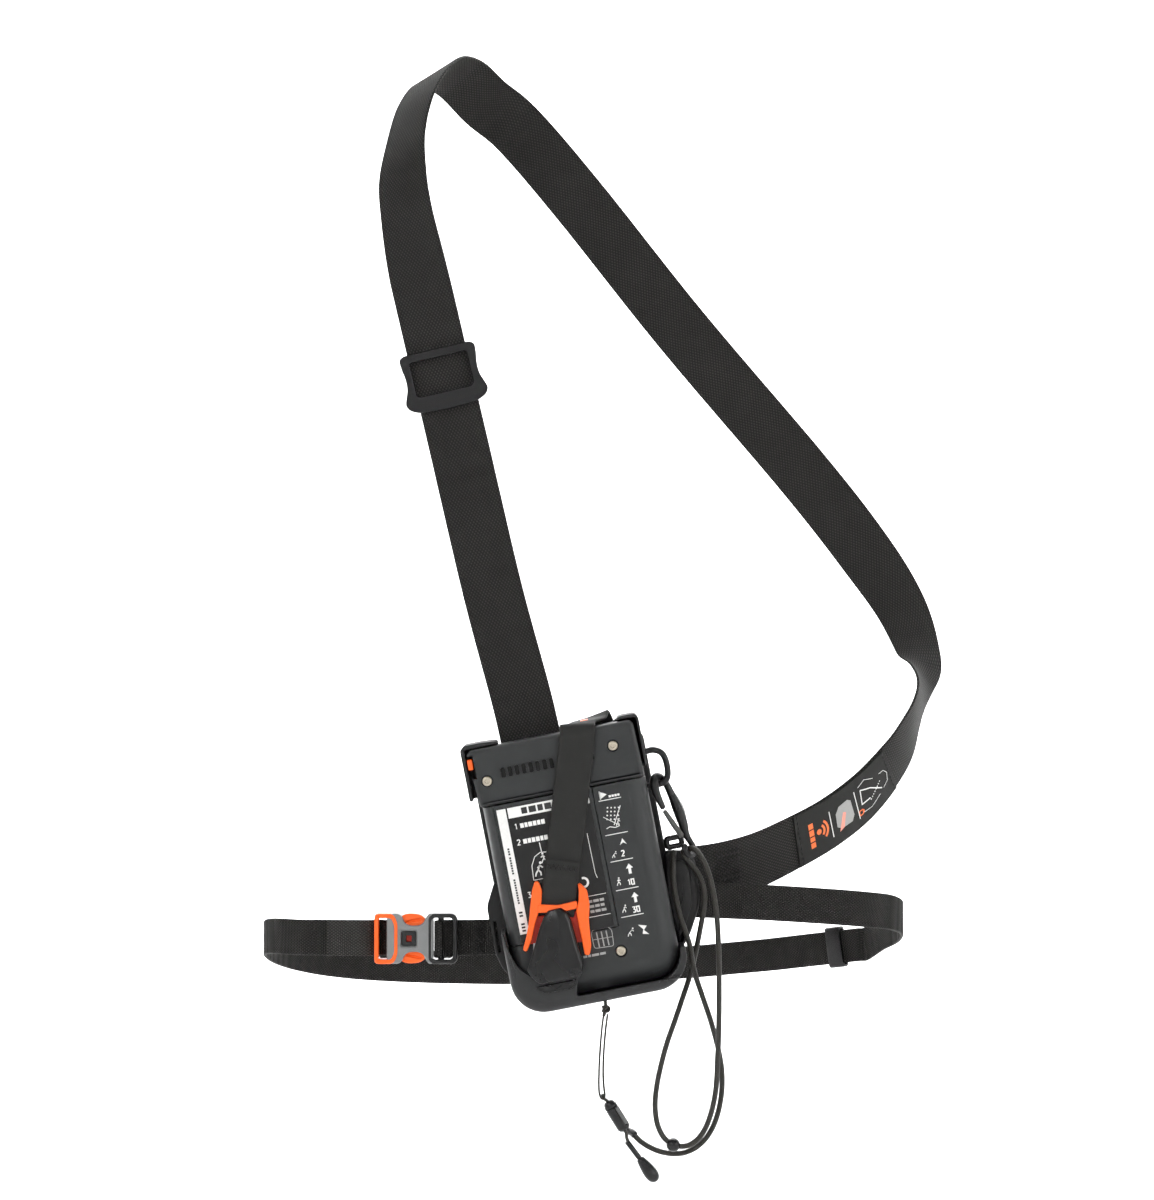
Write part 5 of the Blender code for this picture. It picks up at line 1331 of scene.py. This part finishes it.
def make_case_prints():
    """Signs beside the film: a grid of dots, arrows, numbers, walkers and a rucksack's outline."""
    case = strokes(*[(0.3, (13.4, z), (22.8, z)) for z in (24.3, 9.9, -1.2, -13.2, -24.4)])
    case += patch([(14.2, 28.2), (17.2, 26.6), (14.2, 25)]) + stroke([(14.3, 28.3), (14.3, 24.9)], 0.4)
    case += bars(17.8, 26, (1, 0.9, 1, 0.9), 0.9, 0.25)
    for i in range(4):
        for j in range(4):
            case += disc(15.4 + 1.5 * i + 0.35 * j, 16.4 + 1.55 * j - 0.25 * i, 0.34, 8)
    case += strokes((0.24, (14, 17.6), (19.6, 13.4)), (0.32, (21.8, 21), (17.8, 13.6)),
                    (0.3, (14.4, 12.6), (16, 13.2), (18, 12.5), (20, 12.9))) + walker(19.4, 13.6, 1.5, 0.3)
    case += patch([(18.6, 5), (20, 7.6), (21.4, 5), (20, 5.9)])
    case += figures("2", 18.6, 0.4, 1.35, 0.5) + walker(15.2, 0.8, 1.3, 0.55)
    case += arrow(20.6, -5.2, 2.1) + figures("10", 18.9, -11.8, 1.35, 0.5) + walker(15.2, -10.6, 1.7, 0)
    case += arrow(20.6, -17.2, 2.1) + figures("30", 18.7, -23.2, 1.35, 0.5) + walker(15.2, -22, 1.6, 0.25)
    glass = [(19.6, -28.6), (23, -29.6), (21.6, -31.2), (23.4, -33.2), (20.8, -32.6), (21.4, -30.8)]
    case += walker(15.6, -32, 1.7, 0.6) + patch(glass)
    ink("case_print_white", case, "white", on_case, True, slot="housing")
    pack = soften([(0.2, -34.8), (8.2, -35.2), (8.6, -28.6), (6.6, -26.4), (2.6, -26), (0, -28.2)], 1, 3)
    lines = stroke(pack, 0.3, True) + stroke([(0.3, -31.2), (8.4, -31.4)], 0.26)
    lines += strokes(*[(0.5, (x, -28.4), (x + 0.1, -34.6)) for x in (2.2, 4.2, 6.2)])
    lines += bars(-5, -36.9, (1.6, 1.2, 3, 2.4), 1, 0.4)
    ink("case_print_grey", lines, "grey ink", on_case, True, slot="housing")


def cut(shapes, step=1.5):
    """Divides long quads so that they follow a strap's bend."""
    result = []
    for shape in shapes:
        if len(shape) != 4:
            result.append(shape)
            continue
        a, b, c, d = [Vector(corner) for corner in shape]
        pieces = max(1, ceil((d - a).length / step))
        for i in range(pieces):
            s, t = i / pieces, (i + 1) / pieces
            result.append([a.lerp(d, s), b.lerp(c, s), b.lerp(c, t), a.lerp(d, t)])
    return result


def make_shoulder_label(frames):
    """The sewn label: film, generic signs that say send, device, lock and pack, and its stitching."""
    facing = seen_side(frames)
    lift = facing * (WEBBING_FACE + 0.45)
    film = strap("label_film", frames, SHOULDER_WIDTH - 1.2, 0.45, "coated", lift=lift)
    done(film, "label", "shoulder_label")
    reach = spaced([item[0] for item in frames])[-1]
    upward = 1 if frames[0][2].z > 0 else -1

    def place(u, v, rise):
        """u runs from the label's lower end upwards along the strap, v across it."""
        return on_frames(frames, 1 - u / reach, v * upward, lift + facing * (0.25 + rise))

    orange = []
    for low, high in ((-6.4, -3.9), (-3.3, -1.2), (-0.6, 2.2), (2.8, 5.4)):
        orange += tile(7.2, low, 9.8, high)
    sender = (12.6, -0.4)
    orange += disc(*sender, 1.35) + stroke(rounded_box(36.4, 38.6, -6.4, -4.2, 0.4, 2), 0.5, True)
    orange += strokes((1.1, *arc(sender, 3, -50, 50, 8)), (1.1, *arc(sender, 5, -50, 50, 10)),
                      (0.4, *arc((38.4, -5.3), 0.9, -90, 90, 5)))
    ink("label_print_orange", cut(orange), "orange ink", place)
    white = strokes((0.45, (19.8, -6.8), (19.8, 6)), (0.4, (36, -7.6), (36, 6.6)),
                    (0.5, (40, 5), (46, 2), (52, -3.6)), (0.5, (40, 5), (39, -2), (44.4, -2.4)),
                    (0.22, (39, 7), (44, 8.2), (49, 5)), (0.22, (38.4, -6), (44, -7), (50, -5.4)),
                    (0.22, (53, 4), (56, 3.4), (57.6, 0.6), (56.4, -3), (53, -4.4)))
    for i in range(8):
        white += disc(44.6 + 1.05 * i, -3.4 + 0.55 * i, 0.3, 8)
    ink("label_print_white", cut(white), "white", place)
    device = [(22.8, -3.6), (23.2, 2.6), (25.6, 5.2), (31.2, 5.6), (33, 4.2), (33.4, -3.4), (31.6, -5.8),
              (25.4, -5.6)]
    ink("label_print_grey", [device], "grey ink", place)
    beam = [(23.8, -6.4), (26.6, -5.6), (29, 0.6), (27.4, 1.4)]
    ink("label_print_pink", [beam], "pink ink", lambda u, v, rise: place(u, v, rise + 0.05))
    marks = [(share, 11 * (i / 9 - 0.5) * 2, 0) for share in (0.03, 0.97) for i in range(10)]
    sew("label_stitching", frames, marks, WEBBING_FACE + 0.72, "label")


# ---- pieces inside

def finish_inside():
    """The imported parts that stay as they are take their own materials."""
    hidden = {"housing_seal": "seal", "display_window": "window", "display_module": "display",
              "circuit_board": "board", "speaker": "steel", "antenna_long": "copper",
              "antenna_cross": "copper", "antenna_upright": "copper", "battery_cell_1": "cell",
              "battery_cell_2": "cell", "battery_cell_3": "cell", "battery_contact": "nickel",
              "lever_pin": "steel", "lever_spring": "steel"}
    for name, look in hidden.items():
        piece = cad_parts[name]
        piece.data.materials.clear()
        piece.data.materials.append(LOOKS[look])


def build():
    makers = [make_floor, make_lights, make_camera, make_leash, make_shoulder_strap, make_waist_straps]
    makers += [make_adjuster, make_belt_slider, make_buckle_body, make_buckle_frame, make_buckle_ladder]
    makers += [make_rear_shell, make_front_shell, make_head_cap, make_screws, make_bumpers, make_mode_switch]
    makers += [make_back_plate, make_cup, make_wings, make_closure, make_catch, make_lever]
    makers += [make_leash_hardware, make_film_prints, make_case_prints, finish_inside]
    for maker in makers:
        maker()


build()
